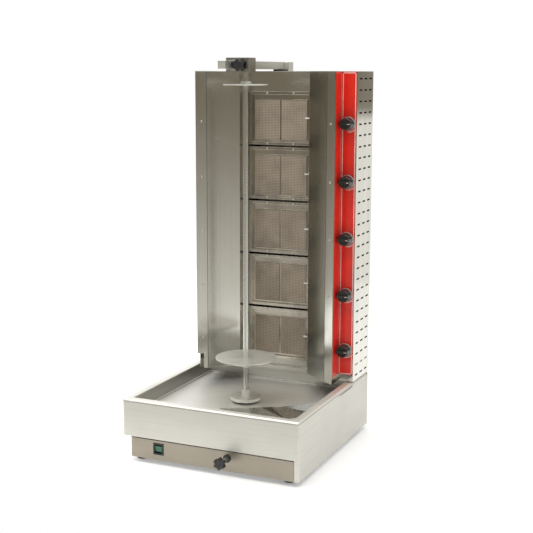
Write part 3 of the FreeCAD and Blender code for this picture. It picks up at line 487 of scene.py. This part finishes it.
# ---------------- operators
class GRILL_OT_finishes(bpy.types.Operator):
    """Build every finish of the grill"""

    bl_idname = "grill.finishes"
    bl_label = "Finishes"

    def execute(self, context):
        colours, sizes = context.scene.grill_colours, context.scene.grill_sizes
        GROUPS.update(grain=brushed_grain(), marks=handling_marks(), holes=hole_grid(), skin=moulded_skin())
        FINISH.update(self.sheets(colours))
        FINISH.update(self.bars(colours))
        FINISH.update(self.mouldings(colours))
        FINISH.update(heated=heated_steel(colours.heated), zinc=spangled_zinc(),
                      plaque=plaque_ceramic(colours.plaque, sizes.plaque_pitch))
        return {"FINISHED"}

    def sheets(self, colours):
        """Brushed and polished sheets of the base and the housing."""
        sheet, tray = colours.sheet, colours.tray
        return {
            "sheet along": steel("sheet brushed along", shade(sheet, 0.96), 0.20, (4.0, 4.0, 620.0),
                                 depth=0.000008),
            "casing": steel("casing sheet", sheet, 0.40, LEVEL_GRAIN, depth=0.000006, marks=0.06),
            # The rim is a lighter copy of the casing's sheet colour for its up-facing faces: painted light on
            # the top of the casing.
            "rim": steel("rim sheet painted light", shade(sheet, 1.4), 0.46, LEVEL_GRAIN, depth=0.000006, marks=0.04),
            "sheet upright": steel("sheet brushed upright", sheet, 0.13, UPRIGHT_GRAIN, depth=0.000004,
                                   spread_of_roughness=0.07, marks=0.05),
            "sheet polished": steel("sheet polished", shade(sheet, 1.04), 0.07, POLISHED_GRAIN,
                                    depth=0.000002, spread_of_roughness=0.03, marks=0.03),
            # The tray takes a lighter copy of its colour on the floor and a darker copy on its walls: painted
            # light and painted shade.
            "tray": steel("tray sheet painted light", shade(tray, 1.30), 0.44, TRAY_GRAIN, depth=0.000008),
            "shaded tray wall": steel("shaded tray wall sheet", shade(tray, 0.72), 0.30, (6.0, 6.0, 420.0), depth=0.000008),
            # Plinth: a darker sheet colour, painted shade below the casing's overhang.
            "plinth": steel("plinth sheet painted shade", colours.plinth, 0.30, (5.0, 5.0, 620.0), depth=0.00001),
        }

    def bars(self, colours):
        """Metals of the spit, discs, arm, scoop, screws and valves."""
        bright = colours.turned
        low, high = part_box("spit_rod")
        return {
            # The bar's steel is a lighter copy of the turned steel: painted light for the bar's bright top.
            "bar": steel("bar steel painted light", shade(bright, 1.2), 0.40, (520.0, 6.0, 520.0), depth=0.000008),
            "spit": steel("spit steel", bright, 0.17, (30.0, 30.0, 900.0), depth=0.000006),
            # The block's steel is a darker copy of the turned steel: painted shade.
            "block": steel("block steel painted shade", shade(bright, 0.85), 0.17, (520.0, 520.0, 8.0), depth=0.000008),
            "scoop": steel("scoop sheet", bright, 0.22, SCOOP_GRAIN, depth=0.000004, marks=0.06),
            # The scoop's steep faces take a much darker copy of its steel: painted shade.
            "scoop fold shade": steel("scoop fold shade", shade(bright, 0.25), 0.22, SCOOP_GRAIN, depth=0.000004),
            "turned": turned_steel("turned steel", shade(bright, 1.28), 0.44, (low + high) / 2),
            "screw": steel("screw steel", shade(bright, 1.15), 0.30, (90.0, 90.0, 90.0)),
            "brass": steel("valve brass", (0.62, 0.43, 0.17), 0.26, (80.0, 300.0, 80.0)),
        }

    def mouldings(self, colours):
        """Enamel, print, plastics, rubber and paints."""
        return {
            "enamel": plastic("red enamel", colours.enamel, 0.16, skin=320.0, depth=0.00003,
                              **coat(0.6, 0.05)),
            "print": plastic("pale print", colours.print, 0.42, skin=1200.0),
            "knob": plastic("black phenolic", colours.knob, 0.22, skin=700.0, **coat(0.25, 0.12)),
            "skirt": plastic("pale skirt", (0.30, 0.30, 0.28), 0.3, skin=600.0, **coat(0.4)),
            "black": plastic("black moulding", (0.02, 0.02, 0.02), 0.42),
            "grey": plastic("grey moulding", (0.22, 0.22, 0.22), 0.5),
            "rubber": plastic("foot rubber", (0.018, 0.018, 0.018), 0.72, skin=500.0, depth=0.00008),
            "lens": plastic("green lens", colours.lens, 0.18, skin=300.0, depth=0.00002, **coat(0.5, 0.08)),
            "fold": plastic("fold shadow", (0.05, 0.045, 0.035), 0.4),
            # Near-black for the screws' cross recesses: painted shade in place of a cut recess.
            "recess": plastic("recess painted shade", (0.012, 0.011, 0.010), 0.6),
            "pipe": plastic("pipe paint", (0.10, 0.10, 0.11), 0.38, skin=420.0),
            "motor": plastic("motor paint", (0.035, 0.042, 0.055), 0.34, skin=380.0),
        }


class GRILL_OT_base(bpy.types.Operator):
    """Casing, plinth, tray and bottom plate"""

    bl_idname = "grill.base"
    bl_label = "Base"

    def execute(self, context):
        edge = context.scene.grill_sizes.sheet_edge
        rim_depth = 0.009
        rim_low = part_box("base_casing")[1].z - rim_depth
        casing = eased("base_casing", edge, "casing")
        # Up-facing faces at the top of the casing take the lighter rim copy: painted light.
        set_apart(casing, "rim", lambda face: face.normal.z > 0.35 and face.center.z > rim_low)
        eased("plinth_wall", edge, "plinth")
        tray = eased("tray", edge, "tray")
        # The tray's upright walls take the darker copy: painted shade.
        set_apart(tray, "shaded tray wall", lambda face: abs(face.normal.z) < 0.5)
        refinish("zinc", "base_plate")
        return {"FINISHED"}


class GRILL_OT_feet(bpy.types.Operator):
    """Rubber feet with a rounded tread"""

    bl_idname = "grill.feet"
    bl_label = "Feet"

    radius: metres("Radius", "Radius of a foot", 0.019)

    def execute(self, context):
        bm = bmesh.new()
        low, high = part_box("feet")
        for x in (low.x + self.radius, high.x - self.radius):
            for y in (low.y + self.radius, high.y - self.radius):
                turned(bm, Vector((x, y, low.z)), "z", FOOT_TREAD, steps=40)
                turned(bm, Vector((x, y, low.z)), "z", FOOT_STUD, steps=20)
        ease_edges(bm, 0.0006)
        settle(bm, "rubber_feet", "base", ["rubber"], ["feet"])
        return {"FINISHED"}


class GRILL_OT_housing(bpy.types.Operator):
    """Heat shields, covers, column, roof and burner strip"""

    bl_idname = "grill.housing"
    bl_label = "Housing"

    fold: metres("Fold", "Width of the line along a fold", 0.0012)
    lip: metres("Lip", "Depth of a shield's front edge before its fold", 0.019)
    bend: metres("Bend", "A shield's outer side to its fold", 0.0336)

    def execute(self, context):
        edge = context.scene.grill_sizes.sheet_edge
        for node in ("wing_left", "wing_right", "left_cover", "control_panel", "roof_panel", "rear_panel"):
            eased(node, edge, "sheet upright", sharp=3 if node.startswith("wing") else 32)
        eased("right_cover", edge, "sheet polished")
        eased("burner_rail", edge, "sheet along")
        self.folds()
        return {"FINISHED"}

    def folds(self):
        """Painted shadow: a dark strip along the inside of each shield's front fold."""
        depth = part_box("wing_left")[0].y + self.lip
        low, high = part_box("wing_right")
        bend, end_gap = high.x - self.bend, 0.001
        for name, sign in (("left_fold_shadow", -1), ("right_fold_shadow", 1)):
            bm = bmesh.new()
            block(bm, (sign * bend - self.fold / 2, depth - 0.0004, low.z + end_gap),
                  (sign * bend + self.fold / 2, depth + 0.0006, high.z - end_gap))
            settle(bm, name, "base", ["fold"])


class GRILL_OT_fascia(bpy.types.Operator):
    """Red enamelled fascia with its pale border line and dial marks"""

    bl_idname = "grill.fascia"
    bl_label = "Fascia"

    inset: metres("Inset", "Border line to the fascia's edge", 0.0022)
    line: metres("Line", "Width of the border line", 0.0024)
    proud: metres("Proud", "Thickness of the print", 0.0002)
    arc: metres("Arc", "Radius of a dial's arc", 0.0245)

    def execute(self, context):
        eased("red_fascia", 0.0003, "enamel")
        column_sheet, enamelled_sheet = 0.0012, 0.0008
        face_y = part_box("control_panel")[1].y - column_sheet - enamelled_sheet
        near, far = face_y - self.proud, face_y + 0.0001
        self.border(near, far)
        bm = bmesh.new()
        for i in BURNERS:
            self.dial(bm, from_front(*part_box(f"knob_{i}"), face_y), near, far)
        settle(bm, "dial_marks", "base", ["print"])
        return {"FINISHED"}

    def border(self, near, far):
        """Pale line round the fascia's front."""
        low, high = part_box("red_fascia")
        left, right = low.x + self.inset, high.x - self.inset
        bottom, top = low.z + self.inset, high.z - self.inset
        bm = bmesh.new()
        for x0, x1, z0, z1 in ((left, left + self.line, bottom, top),
                               (right - self.line, right, bottom, top),
                               (left, right, bottom, bottom + self.line),
                               (left, right, top - self.line, top)):
            block(bm, (x0, near, z0), (x1, far, z1))
        settle(bm, "fascia_border", "base", ["print"])

    def dial(self, bm, centre, near, far):
        """Arc round the lower part of a knob, with a tick near each end."""
        sweep, half_tick = 42, 0.0008
        start = bm.verts.new(Vector((centre.x, near, centre.z - self.arc)))
        end = bm.verts.new(Vector((centre.x, near, centre.z - self.arc - self.line)))
        line = bm.edges.new((start, end))
        bmesh.ops.spin(bm, geom=[start, end, line], cent=centre, axis=(0, 1, 0),
                       angle=-math.radians(sweep), steps=14)
        for angle, length in ((-8, 0.0035), (44, 0.0030)):
            made = block(bm, (centre.x - half_tick, near, centre.z - self.arc - length),
                         (centre.x + half_tick, far, centre.z - self.arc))
            turn = Matrix.Rotation(-math.radians(angle), 3, "Y")
            bmesh.ops.rotate(bm, verts=made, cent=centre, matrix=turn)


class GRILL_OT_burners(bpy.types.Operator):
    """Burner frames, their perforated plaques and the flame sensors"""

    bl_idname = "grill.burners"
    bl_label = "Burners"

    wide: metres("Wide", "Width of a plaque", 0.0885)
    tall: metres("Tall", "Height of a plaque", 0.127)
    edge: metres("Frame edge", "Rounding of the pressed frames", 0.0019)
    rise: metres("Rise", "Plaque above the frame's foot", 0.0165)

    def execute(self, context):
        for i in BURNERS:
            eased(f"burner_{i}", self.edge, "heated", segments=3)
        self.plaques()
        refinish("screw", "thermocouples")
        return {"FINISHED"}

    def plaques(self):
        """Two plaques in each frame, each with a sunk front."""
        bm = bmesh.new()
        low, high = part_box("ceramic_plaques")
        for i in BURNERS:
            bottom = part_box(f"burner_{i}")[0].z + self.rise
            for x in (low.x, high.x - self.wide):
                made = block(bm, (x, low.y, bottom), (x + self.wide, high.y, bottom + self.tall))
                front = [face for face in faces_of(made) if face.calc_center_median().y < low.y + 1e-5]
                bmesh.ops.inset_region(bm, faces=front, thickness=0.0022, depth=-0.0006)
        ease_edges(bm, 0.0004)
        settle(bm, "plaque_tiles", "base", ["plaque"], ["ceramic_plaques"])


class GRILL_OT_knobs(bpy.types.Operator):
    """Five gas knobs with a skirt, a grip bar and a pointer"""

    bl_idname = "grill.knobs"
    bl_label = "Knobs"

    def execute(self, context):
        edge = context.scene.grill_sizes.moulded_edge
        for i in BURNERS:
            low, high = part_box(f"knob_{i}")
            back = from_front(low, high, high.y)
            bm = bmesh.new()
            self.barrel(bm, back, half_width(low, high))
            self.grip(bm, back)
            ease_edges(bm, edge / 2, 3)
            body = frame["nodes"][f"knob_{i}"]["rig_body"]
            settle(bm, f"gas_knob_{i}", body, ["knob", "skirt"], [f"knob_{i}"])
            self.pointer(back, f"knob_pointer_{i}", body)
            refinish("brass", f"stem_{i}")
        return {"FINISHED"}

    def barrel(self, bm, back, radius):
        """Tapered barrel on a pale skirt, bored for its stem. Millimetres in front of its back."""
        stem, bore_end, skirt, crown = 4.2, -19.6, -6, -31
        turned(bm, back, "y", [(stem, 0), (radius - 0.6, 0), (radius, -0.8), (radius, skirt),
                               (radius - 1.6, skirt - 1), (radius - 2.4, 2 * skirt),
                               (radius - 3.6, crown + 2), (radius - 5, crown), (0, crown),
                               (0, bore_end), (stem, bore_end)], closed=True)
        for face in bm.faces:
            place = face.calc_center_median() - back
            if place.y > (skirt - 0.8) * MM and place.xz.length > (radius - 1.2) * MM:
                face.material_index = 1

    def grip(self, bm, back):
        """Bar across the crown, narrower at its crest, with two ridges on each side."""
        reach, half, crest, foot = 0.0196, 0.0065, -0.0366, -0.0290
        bar = block(bm, back + Vector((-reach, crest, -half)), back + Vector((reach, foot, half)))
        top = [v for v in bar if v.co.y < back.y + crest + 0.0016]
        bmesh.ops.scale(bm, vec=(0.93, 1, 0.62), space=Matrix.Translation(-back), verts=top)
        ridge_radius, ridge_half = 0.0172, 0.0009
        for lane in (-0.0135, -0.0098, 0.0098, 0.0135):
            along = math.sqrt(ridge_radius ** 2 - lane ** 2)
            block(bm, back + Vector((-along, -0.0335, lane - ridge_half)),
                  back + Vector((along, -0.0305, lane + ridge_half)))

    def pointer(self, back, name, body):
        """Pale line on one end of the grip bar."""
        bm = bmesh.new()
        block(bm, back + Vector((0.0085, -0.0369, -0.0007)), back + Vector((0.0165, -0.0364, 0.0007)))
        settle(bm, name, body, ["print"])


def star(bm, front, bore):
    """Lobed hand knob facing -Y, bored for its rod, with a domed cap and a neck behind. Millimetres."""
    steps, mean, wave = 96, 0.875, 0.125
    facing = Matrix.Translation(front) @ Matrix.Rotation(math.pi / 2, 4, "X")
    rim = bmesh.ops.create_circle(bm, segments=steps, radius=STAR_RADIUS * MM, matrix=facing)["verts"]
    for vert in rim:
        across = vert.co - front
        vert.co = front + across * (mean - wave * math.cos(STAR_LOBES * math.atan2(across.z, across.x)))
    bmesh.ops.create_circle(bm, segments=steps, radius=bore * MM, matrix=facing)
    faces = bmesh.ops.bridge_loops(bm, edges=bm.edges[:])["faces"]
    grown = bmesh.ops.extrude_face_region(bm, geom=faces)["geom"]
    bmesh.ops.translate(bm, vec=(0, STAR_DEPTH * MM, 0),
                        verts=[one for one in grown if isinstance(one, bmesh.types.BMVert)])
    ease_edges(bm, 0.0018, 3, angle=50)
    turned(bm, front, "y", STAR_CAP, steps=40)
    turned(bm, front, "y", [(bore, STAR_DEPTH - 0.6), (9, STAR_DEPTH - 0.6), (9, STAR_DEPTH + 5),
                            (8, STAR_DEPTH + 6), (bore, STAR_DEPTH + 6)], steps=40, closed=True)


class GRILL_OT_star_knobs(bpy.types.Operator):
    """Hand knobs of the push rod and of the spit lock"""

    bl_idname = "grill.star_knobs"
    bl_label = "Star knobs"

    def execute(self, context):
        self.knob("rod_star_knob", "push_rod_knob", 5.1)
        self.knob("spit_lock_knob", "spit_lock", 4.0, shank=3.95)
        return {"FINISHED"}

    def knob(self, node, name, bore, shank=None):
        """One star knob, with the shank of its screw where it has one. Millimetres."""
        low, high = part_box(node)
        front = from_front(low, high, low.y)
        finishes = ["black"]
        bm = bmesh.new()
        star(bm, front, bore)
        if shank:
            finishes.append("screw")
            before, tip = set(bm.faces), (high.y - low.y) / MM
            turned(bm, front, "y", [(0, 14), (shank, 14), (shank, tip - 1), (3.2, tip), (0, tip)], steps=24)
            for face in set(bm.faces) - before:
                face.material_index = 1
        settle(bm, name, frame["nodes"][node]["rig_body"], finishes, [node])


class GRILL_OT_spit(bpy.types.Operator):
    """Spit, its two discs with their screws, and the driven disc below"""

    bl_idname = "grill.spit"
    bl_label = "Spit and discs"

    def execute(self, context):
        bore = half_width(*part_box("spit_rod")) + 0.05
        self.rod()
        self.disc("lower_disc", "lower_meat_disc", -1, bore)
        self.disc("upper_disc", "upper_meat_disc", 1, bore)
        self.t_screw()
        refinish("screw", "upper_disc_screw")
        self.driven_disc(bore)
        return {"FINISHED"}

    def rod(self):
        """Round spit with eased ends."""
        low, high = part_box("spit_rod")
        radius, length = half_width(low, high), (high.z - low.z) / MM
        bm = bmesh.new()
        turned(bm, from_above(low, high, low.z), "z",
               [(0, 0), (radius - 1.2, 0), (radius, 1.6), (radius, length - 3), (radius - 2.4, length),
                (0, length)], steps=40)
        settle(bm, "spit", "spit", ["spit"], ["spit_rod"])

    def disc(self, node, name, side, bore):
        """Meat disc with its hub below (side -1) or above (side 1). Millimetres."""
        low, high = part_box(node)
        thick, hub_radius = 3, 15
        wide, hub = half_width(low, high), (high.z - low.z) / MM
        bm = bmesh.new()
        turned(bm, from_above(low, high, high.z if side < 0 else low.z), "z",
               [(bore, 0), (wide, 0), (wide, thick * side), (hub_radius, thick * side),
                (hub_radius, hub * side), (bore, hub * side)], steps=128, closed=True)
        ease_edges(bm, 0.0006)
        settle(bm, name, node, ["turned"], [node])

    def t_screw(self):
        """Screw of the lower disc, with a bar through its head."""
        low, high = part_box("lower_disc_screw")
        bar_radius, shank = 2.5, 3
        centre = from_front(low, high, low.y + bar_radius * MM)
        tip, half = (high.y - low.y) / MM - 2.6, half_width(low, high)
        bm = bmesh.new()
        turned(bm, centre, "y", [(0, 0), (shank, 0), (shank, tip - 0.9), (2.2, tip), (0, tip)], steps=24)
        turned(bm, centre, "x", [(0, -half), (1.6, -half), (bar_radius, 1 - half), (bar_radius, half - 1),
                                 (1.6, half), (0, half)], steps=24)
        ease_edges(bm, 0.0003)
        settle(bm, "t_screw", "lower_disc", ["screw"], ["lower_disc_screw"])

    def driven_disc(self, bore):
        """Disc that turns the spit, with the spit's socket. Millimetres."""
        low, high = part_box("drive_disc")
        thick, socket, socket_foot = 11, 13, 12
        wide, tall = half_width(low, high), (high.z - low.z) / MM
        bm = bmesh.new()
        turned(bm, from_above(low, high, low.z), "z",
               [(0, 0), (wide - 1.5, 0), (wide, 1.5), (wide, thick), (socket, thick), (socket, tall),
                (bore, tall), (bore, socket_foot), (0, socket_foot)], steps=128)
        ease_edges(bm, 0.0009)
        settle(bm, "driven_disc", "spindle", ["turned"], ["drive_disc"])


class GRILL_OT_arm(bpy.types.Operator):
    """Arm bar, its bracket, the sliding block and its clamp screw"""

    bl_idname = "grill.arm"
    bl_label = "Arm"

    def execute(self, context):
        edge = context.scene.grill_sizes.bar_edge
        eased("arm_bar", 0.0008, "bar")
        eased("arm_bracket", edge, "bar")
        eased("arm_pad", edge, "rubber")
        eased("arm_block", edge, "block", segments=3)
        self.clamp_screw()
        return {"FINISHED"}

    def clamp_screw(self):
        """Screw with a knurled head. Millimetres."""
        low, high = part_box("bar_clamp_screw")
        head = Vector((low.x, (low.y + high.y) / 2, (low.z + high.z) / 2))
        radius, deep, shank, tip = 9, 12, 3, (high.x - low.x) / MM
        bm = bmesh.new()
        turned(bm, head, "x", [(0, 0), (radius - 0.8, 0), (radius, 0.9), (radius, deep - 1),
                               (radius - 0.8, deep), (shank, deep), (shank, tip), (0, tip)], steps=48)
        rim = [face for face in bm.faces if len(face.verts) == 4
               and abs(face.calc_center_median().x - head.x - 0.0055) < 0.004
               and (face.calc_center_median() - head).length > (radius - 0.5) * MM]
        bmesh.ops.inset_individual(bm, faces=rim[::2], thickness=0.00012, depth=-0.0004)
        settle(bm, "knurled_clamp_screw", "clamp_screw", ["screw"], ["bar_clamp_screw"])


class GRILL_OT_switch(bpy.types.Operator):
    """Lighted rocker switch in its bezel"""

    bl_idname = "grill.switch"
    bl_label = "Switch"

    half: metres("Half height", "Half the height of the lens", 0.0091)
    dip: metres("Dip", "Depth of the lens's middle", 0.0022)
    pressed: metres("Pressed", "Depth of the lens's pressed end", 0.0032)

    def execute(self, context):
        eased("switch_frame", 0.0008, "black")
        low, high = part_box("switch_rocker")
        middle, front = (low.z + high.z) / 2, low.y + 0.0006
        bm = bmesh.new()
        block(bm, (low.x, front, middle - self.half), (high.x, high.y, middle + self.half))
        bmesh.ops.bisect_plane(bm, geom=bm.verts[:] + bm.edges[:] + bm.faces[:], plane_co=(0, 0, middle),
                               plane_no=(0, 0, 1))
        for vert in [v for v in bm.verts if v.co.y < low.y + 0.002]:
            if abs(vert.co.z - middle) < 1e-5:
                vert.co.y += self.dip
            elif vert.co.z < middle:
                vert.co.y += self.pressed
        ease_edges(bm, 0.0008, 2, angle=12)
        settle(bm, "rocker_lens", "rocker", ["lens"], ["switch_rocker"])
        return {"FINISHED"}


def islands(node):
    """Boxes of the separate bodies in a CAD node's mesh."""
    source = bmesh.new()
    source.from_mesh(frame["nodes"][node].data)
    bmesh.ops.remove_doubles(source, verts=source.verts, dist=1e-6)
    boxes, waiting = [], set(source.verts)
    while waiting:
        to_visit = [waiting.pop()]
        found = set(to_visit)
        while to_visit:
            vert = to_visit.pop()
            for other in {edge.other_vert(vert) for edge in vert.link_edges} & waiting:
                waiting.discard(other)
                found.add(other)
                to_visit.append(other)
        boxes.append((Vector([min(v.co[k] for v in found) for k in range(3)]),
                      Vector([max(v.co[k] for v in found) for k in range(3)])))
    source.free()
    return boxes


class GRILL_OT_screws(bpy.types.Operator):
    """Domed cross-recess screws of the flanges and burner frames"""

    bl_idname = "grill.screws"
    bl_label = "Screws"

    def execute(self, context):
        bm = bmesh.new()
        for low, high in islands("panel_screws"):
            self.screw(bm, from_front(low, high, high.y), half_width(low, high), (high.y - low.y) / MM)
        settle(bm, "domed_screws", "base", ["screw", "recess"], ["panel_screws"])
        return {"FINISHED"}

    def screw(self, bm, seat, radius, tall):
        """Domed head with a dark cross of painted shade where its recess is, on its seat. Millimetres."""
        turned(bm, seat, "y", [(0, 0), (radius, 0), (radius, -tall * 0.3), (radius * 0.78, -tall * 0.75),
                               (radius * 0.4, -tall * 0.93), (0, -tall * 0.95)], steps=20)
        reach, half = radius * 0.55, 0.42
        for wide, high in ((reach, half), (half, reach)):
            made = block(bm, seat + Vector((-wide, -tall, -high)) * MM,
                         seat + Vector((wide, -tall * 0.8, high)) * MM)
            for face in faces_of(made):
                face.material_index = 1


class GRILL_OT_scoop(bpy.types.Operator):
    """Folded meat scoop lying in the tray"""

    bl_idname = "grill.scoop"
    bl_label = "Scoop"

    def execute(self, context):
        shell = eased("meat_scoop", 0.0003, "scoop", angle=50, sharp=4)
        # Steep faces and faces tilted towards the back take the darker copy: painted shade.
        set_apart(shell, "scoop fold shade", lambda face: abs(face.normal.z) < 0.9
                  or face.normal.y * math.copysign(1, face.normal.z) > 0.02)
        return {"FINISHED"}


class GRILL_OT_works(bpy.types.Operator):
    """Hidden gas train, spit drive and terminal box"""

    bl_idname = "grill.works"
    bl_label = "Works"

    def execute(self, context):
        refinish("pipe", "gas_manifold", "feed_pipes")
        refinish("brass", "gas_valves")
        refinish("screw", "guide_rails", "spindle_bearing", "drive_spindle", "push_rod")
        refinish("zinc", "motor_carriage")
        refinish("motor", "gear_motor")
        refinish("black", "rod_bush")
        refinish("grey", "terminal_box", "cable_gland")
        return {"FINISHED"}


class GRILL_OT_stage(bpy.types.Operator):
    """Floor, soft lights, surroundings and camera"""

    bl_idname = "grill.stage"
    bl_label = "Stage"

    overhead: FloatProperty(name="Overhead", description="Power of the overhead lamp", default=44, min=0)
    window: FloatProperty(name="Window", description="Power of the lamp at the left", default=62, min=0)
    floor_glow: FloatProperty(name="Floor glow", description="Light the floor adds of its own",
                              default=0.22, min=0)

    def execute(self, context):
        scene = context.scene
        scene.view_settings.view_transform = "Standard"
        self.floor(scene)
        self.surroundings(scene)
        self.lamp(scene, "overhead", Vector((-0.2, -0.3, 3.0)), Vector((0, 0, 0.4)), 2.8, self.overhead)
        left = self.lamp(scene, "left window", Vector((-3.0, -1.4, 1.6)), Vector((0, 0, 0.6)), 2.2,
                         self.window)
        left.visible_glossy = False
        self.camera(scene)
        return {"FINISHED"}

    def floor(self, scene):
        """Pale rectangle just under the feet, reaching well behind the grill."""
        half_wide, half_deep, behind, gap = 1.9, 1.75, 0.95, 0.0002
        bm = bmesh.new()
        bmesh.ops.create_grid(bm, x_segments=2, y_segments=2, size=1.0)
        bmesh.ops.scale(bm, vec=(half_wide, half_deep, 1), verts=bm.verts)
        bmesh.ops.translate(bm, vec=(0, behind, CAD_BOX[0].z - gap), verts=bm.verts)
        mesh = bpy.data.meshes.new("floor")
        bm.to_mesh(mesh)
        bm.free()
        mesh.materials.append(self.floor_finish())
        floor = bpy.data.objects.new("floor", mesh)
        scene.collection.objects.link(floor)

    def floor_finish(self):
        """Pale matt finish that glows a little."""
        made, tree, shader, coordinates = material("pale floor", roughness=0.7)
        cloud = add(tree, "TexNoise", {"Vector": coordinates, "Scale": 1.5})
        pale = mixed(tree, cloud.outputs[0], (0.90, 0.90, 0.89), (0.93, 0.93, 0.92))
        tree.links.new(pale, shader.inputs["Base Color"])
        shader.inputs["Emission Color"].default_value = (1.0, 1.0, 1.0, 1.0)
        shader.inputs["Emission Strength"].default_value = self.floor_glow
        return made

    def surroundings(self, scene):
        """World whose colour depends on the direction looked in."""
        world = bpy.data.worlds.new("surroundings")
        scene.world = world
        world.use_nodes = True
        tree = world.node_tree
        tree.nodes.clear()
        shader = add(tree, "Background", {"Color": self.room(tree), "Strength": 1.0})
        output = add(tree, "OutputWorld")
        tree.links.new(shader.outputs[0], output.inputs[0])

    def room(self, tree):
        """White wall behind and left, pale bench below, dim warm room in front, bright ceiling."""
        direction = add(tree, "TexCoord").outputs["Generated"]
        flat = add(tree, "VectorMath", {0: direction, 1: (1.0, 1.0, 0.0)}, operation="MULTIPLY")
        flat = add(tree, "VectorMath", {0: flat.outputs[0]}, operation="NORMALIZE").outputs[0]
        across = add(tree, "SeparateXYZ", {0: flat}).outputs
        height = add(tree, "SeparateXYZ", {0: direction}).outputs[2]
        bench_end = spread(tree, spread(tree, across[0], 0.2, 0.7), 0.0, 1.0, -0.34, -0.24)
        bench = math_node(tree, "POWER", spread(tree, height, -0.03, bench_end), 1.3)
        front = mixed(tree, bench, DIM_ROOM, BRIGHT_BENCH)
        behind_right = mixed(tree, spread(tree, height, -0.034, -0.042), DIM_ROOM, BRIGHT_BENCH)
        toward_wall = add(tree, "VectorMath", {0: flat, 1: WALL_AHEAD},
                          operation="DOT_PRODUCT").outputs["Value"]
        around = mixed(tree, spread(tree, across[1], 0.2, 0.5), front, behind_right)
        around = mixed(tree, spread(tree, height, 0.22, 0.6), around, CEILING)
        return mixed(tree, spread(tree, toward_wall, 0.72, 0.90), around, (1.0, 1.0, 1.0))

    def lamp(self, scene, name, place, target, size, power):
        """Square lamp at a place, aimed at a target."""
        light = bpy.data.lights.new(name, "AREA")
        light.shape = "SQUARE"
        light.size = size
        light.energy = power
        lamp = bpy.data.objects.new(name, light)
        lamp.location = place
        lamp.rotation_euler = (target - place).to_track_quat("-Z", "Y").to_euler()
        scene.collection.objects.link(lamp)
        return lamp

    def camera(self, scene):
        """Viewpoint in front of the grill, to its right and above it."""
        yaw, pitch, roll = (math.radians(angle) for angle in VIEW_TURN)
        data = bpy.data.cameras.new("viewpoint")
        data.sensor_width = 36
        data.lens = VIEW_LENS
        data.clip_end = 60
        ahead = Vector((-math.sin(yaw) * math.cos(pitch), math.cos(yaw) * math.cos(pitch), -math.sin(pitch)))
        side = Vector((math.cos(yaw), math.sin(yaw), 0))
        up = side.cross(ahead)
        side, up = math.cos(roll) * side + math.sin(roll) * up, math.cos(roll) * up - math.sin(roll) * side
        turn = Matrix((side, up, -ahead)).transposed()
        viewpoint = bpy.data.objects.new("viewpoint", data)
        viewpoint.matrix_world = Matrix.Translation(at(*VIEW_PLACE)) @ turn.to_4x4()
        scene.collection.objects.link(viewpoint)
        scene.camera = viewpoint


PIECE_OPERATORS = (GRILL_OT_finishes, GRILL_OT_base, GRILL_OT_feet, GRILL_OT_housing, GRILL_OT_fascia,
                   GRILL_OT_burners, GRILL_OT_knobs, GRILL_OT_star_knobs, GRILL_OT_spit, GRILL_OT_arm,
                   GRILL_OT_switch, GRILL_OT_screws, GRILL_OT_scoop, GRILL_OT_works, GRILL_OT_stage)


class GRILL_PT_pieces(bpy.types.Panel):
    """Lists the grill's operators and its settings."""

    bl_label = "Spit Grill"
    bl_idname = "GRILL_PT_pieces"
    bl_space_type = "VIEW_3D"
    bl_region_type = "UI"
    bl_category = "Spit Grill"

    def draw(self, context):
        for settings in (context.scene.grill_colours, context.scene.grill_sizes):
            for name in settings.__annotations__:
                self.layout.prop(settings, name)
        for operator in PIECE_OPERATORS:
            self.layout.operator(operator.bl_idname)


CLASSES = (GrillColours, GrillSizes, *PIECE_OPERATORS, GRILL_PT_pieces)


def register():
    for one in CLASSES:
        bpy.utils.register_class(one)
    bpy.types.Scene.grill_colours = PointerProperty(type=GrillColours)
    bpy.types.Scene.grill_sizes = PointerProperty(type=GrillSizes)


def unregister():
    del bpy.types.Scene.grill_sizes
    del bpy.types.Scene.grill_colours
    for one in reversed(CLASSES):
        bpy.utils.unregister_class(one)


def main():
    """Build every piece in order."""
    register()
    for operator in PIECE_OPERATORS:
        group, name = operator.bl_idname.split(".")
        getattr(getattr(bpy.ops, group), name)()


if __name__ == "__main__":
    main()
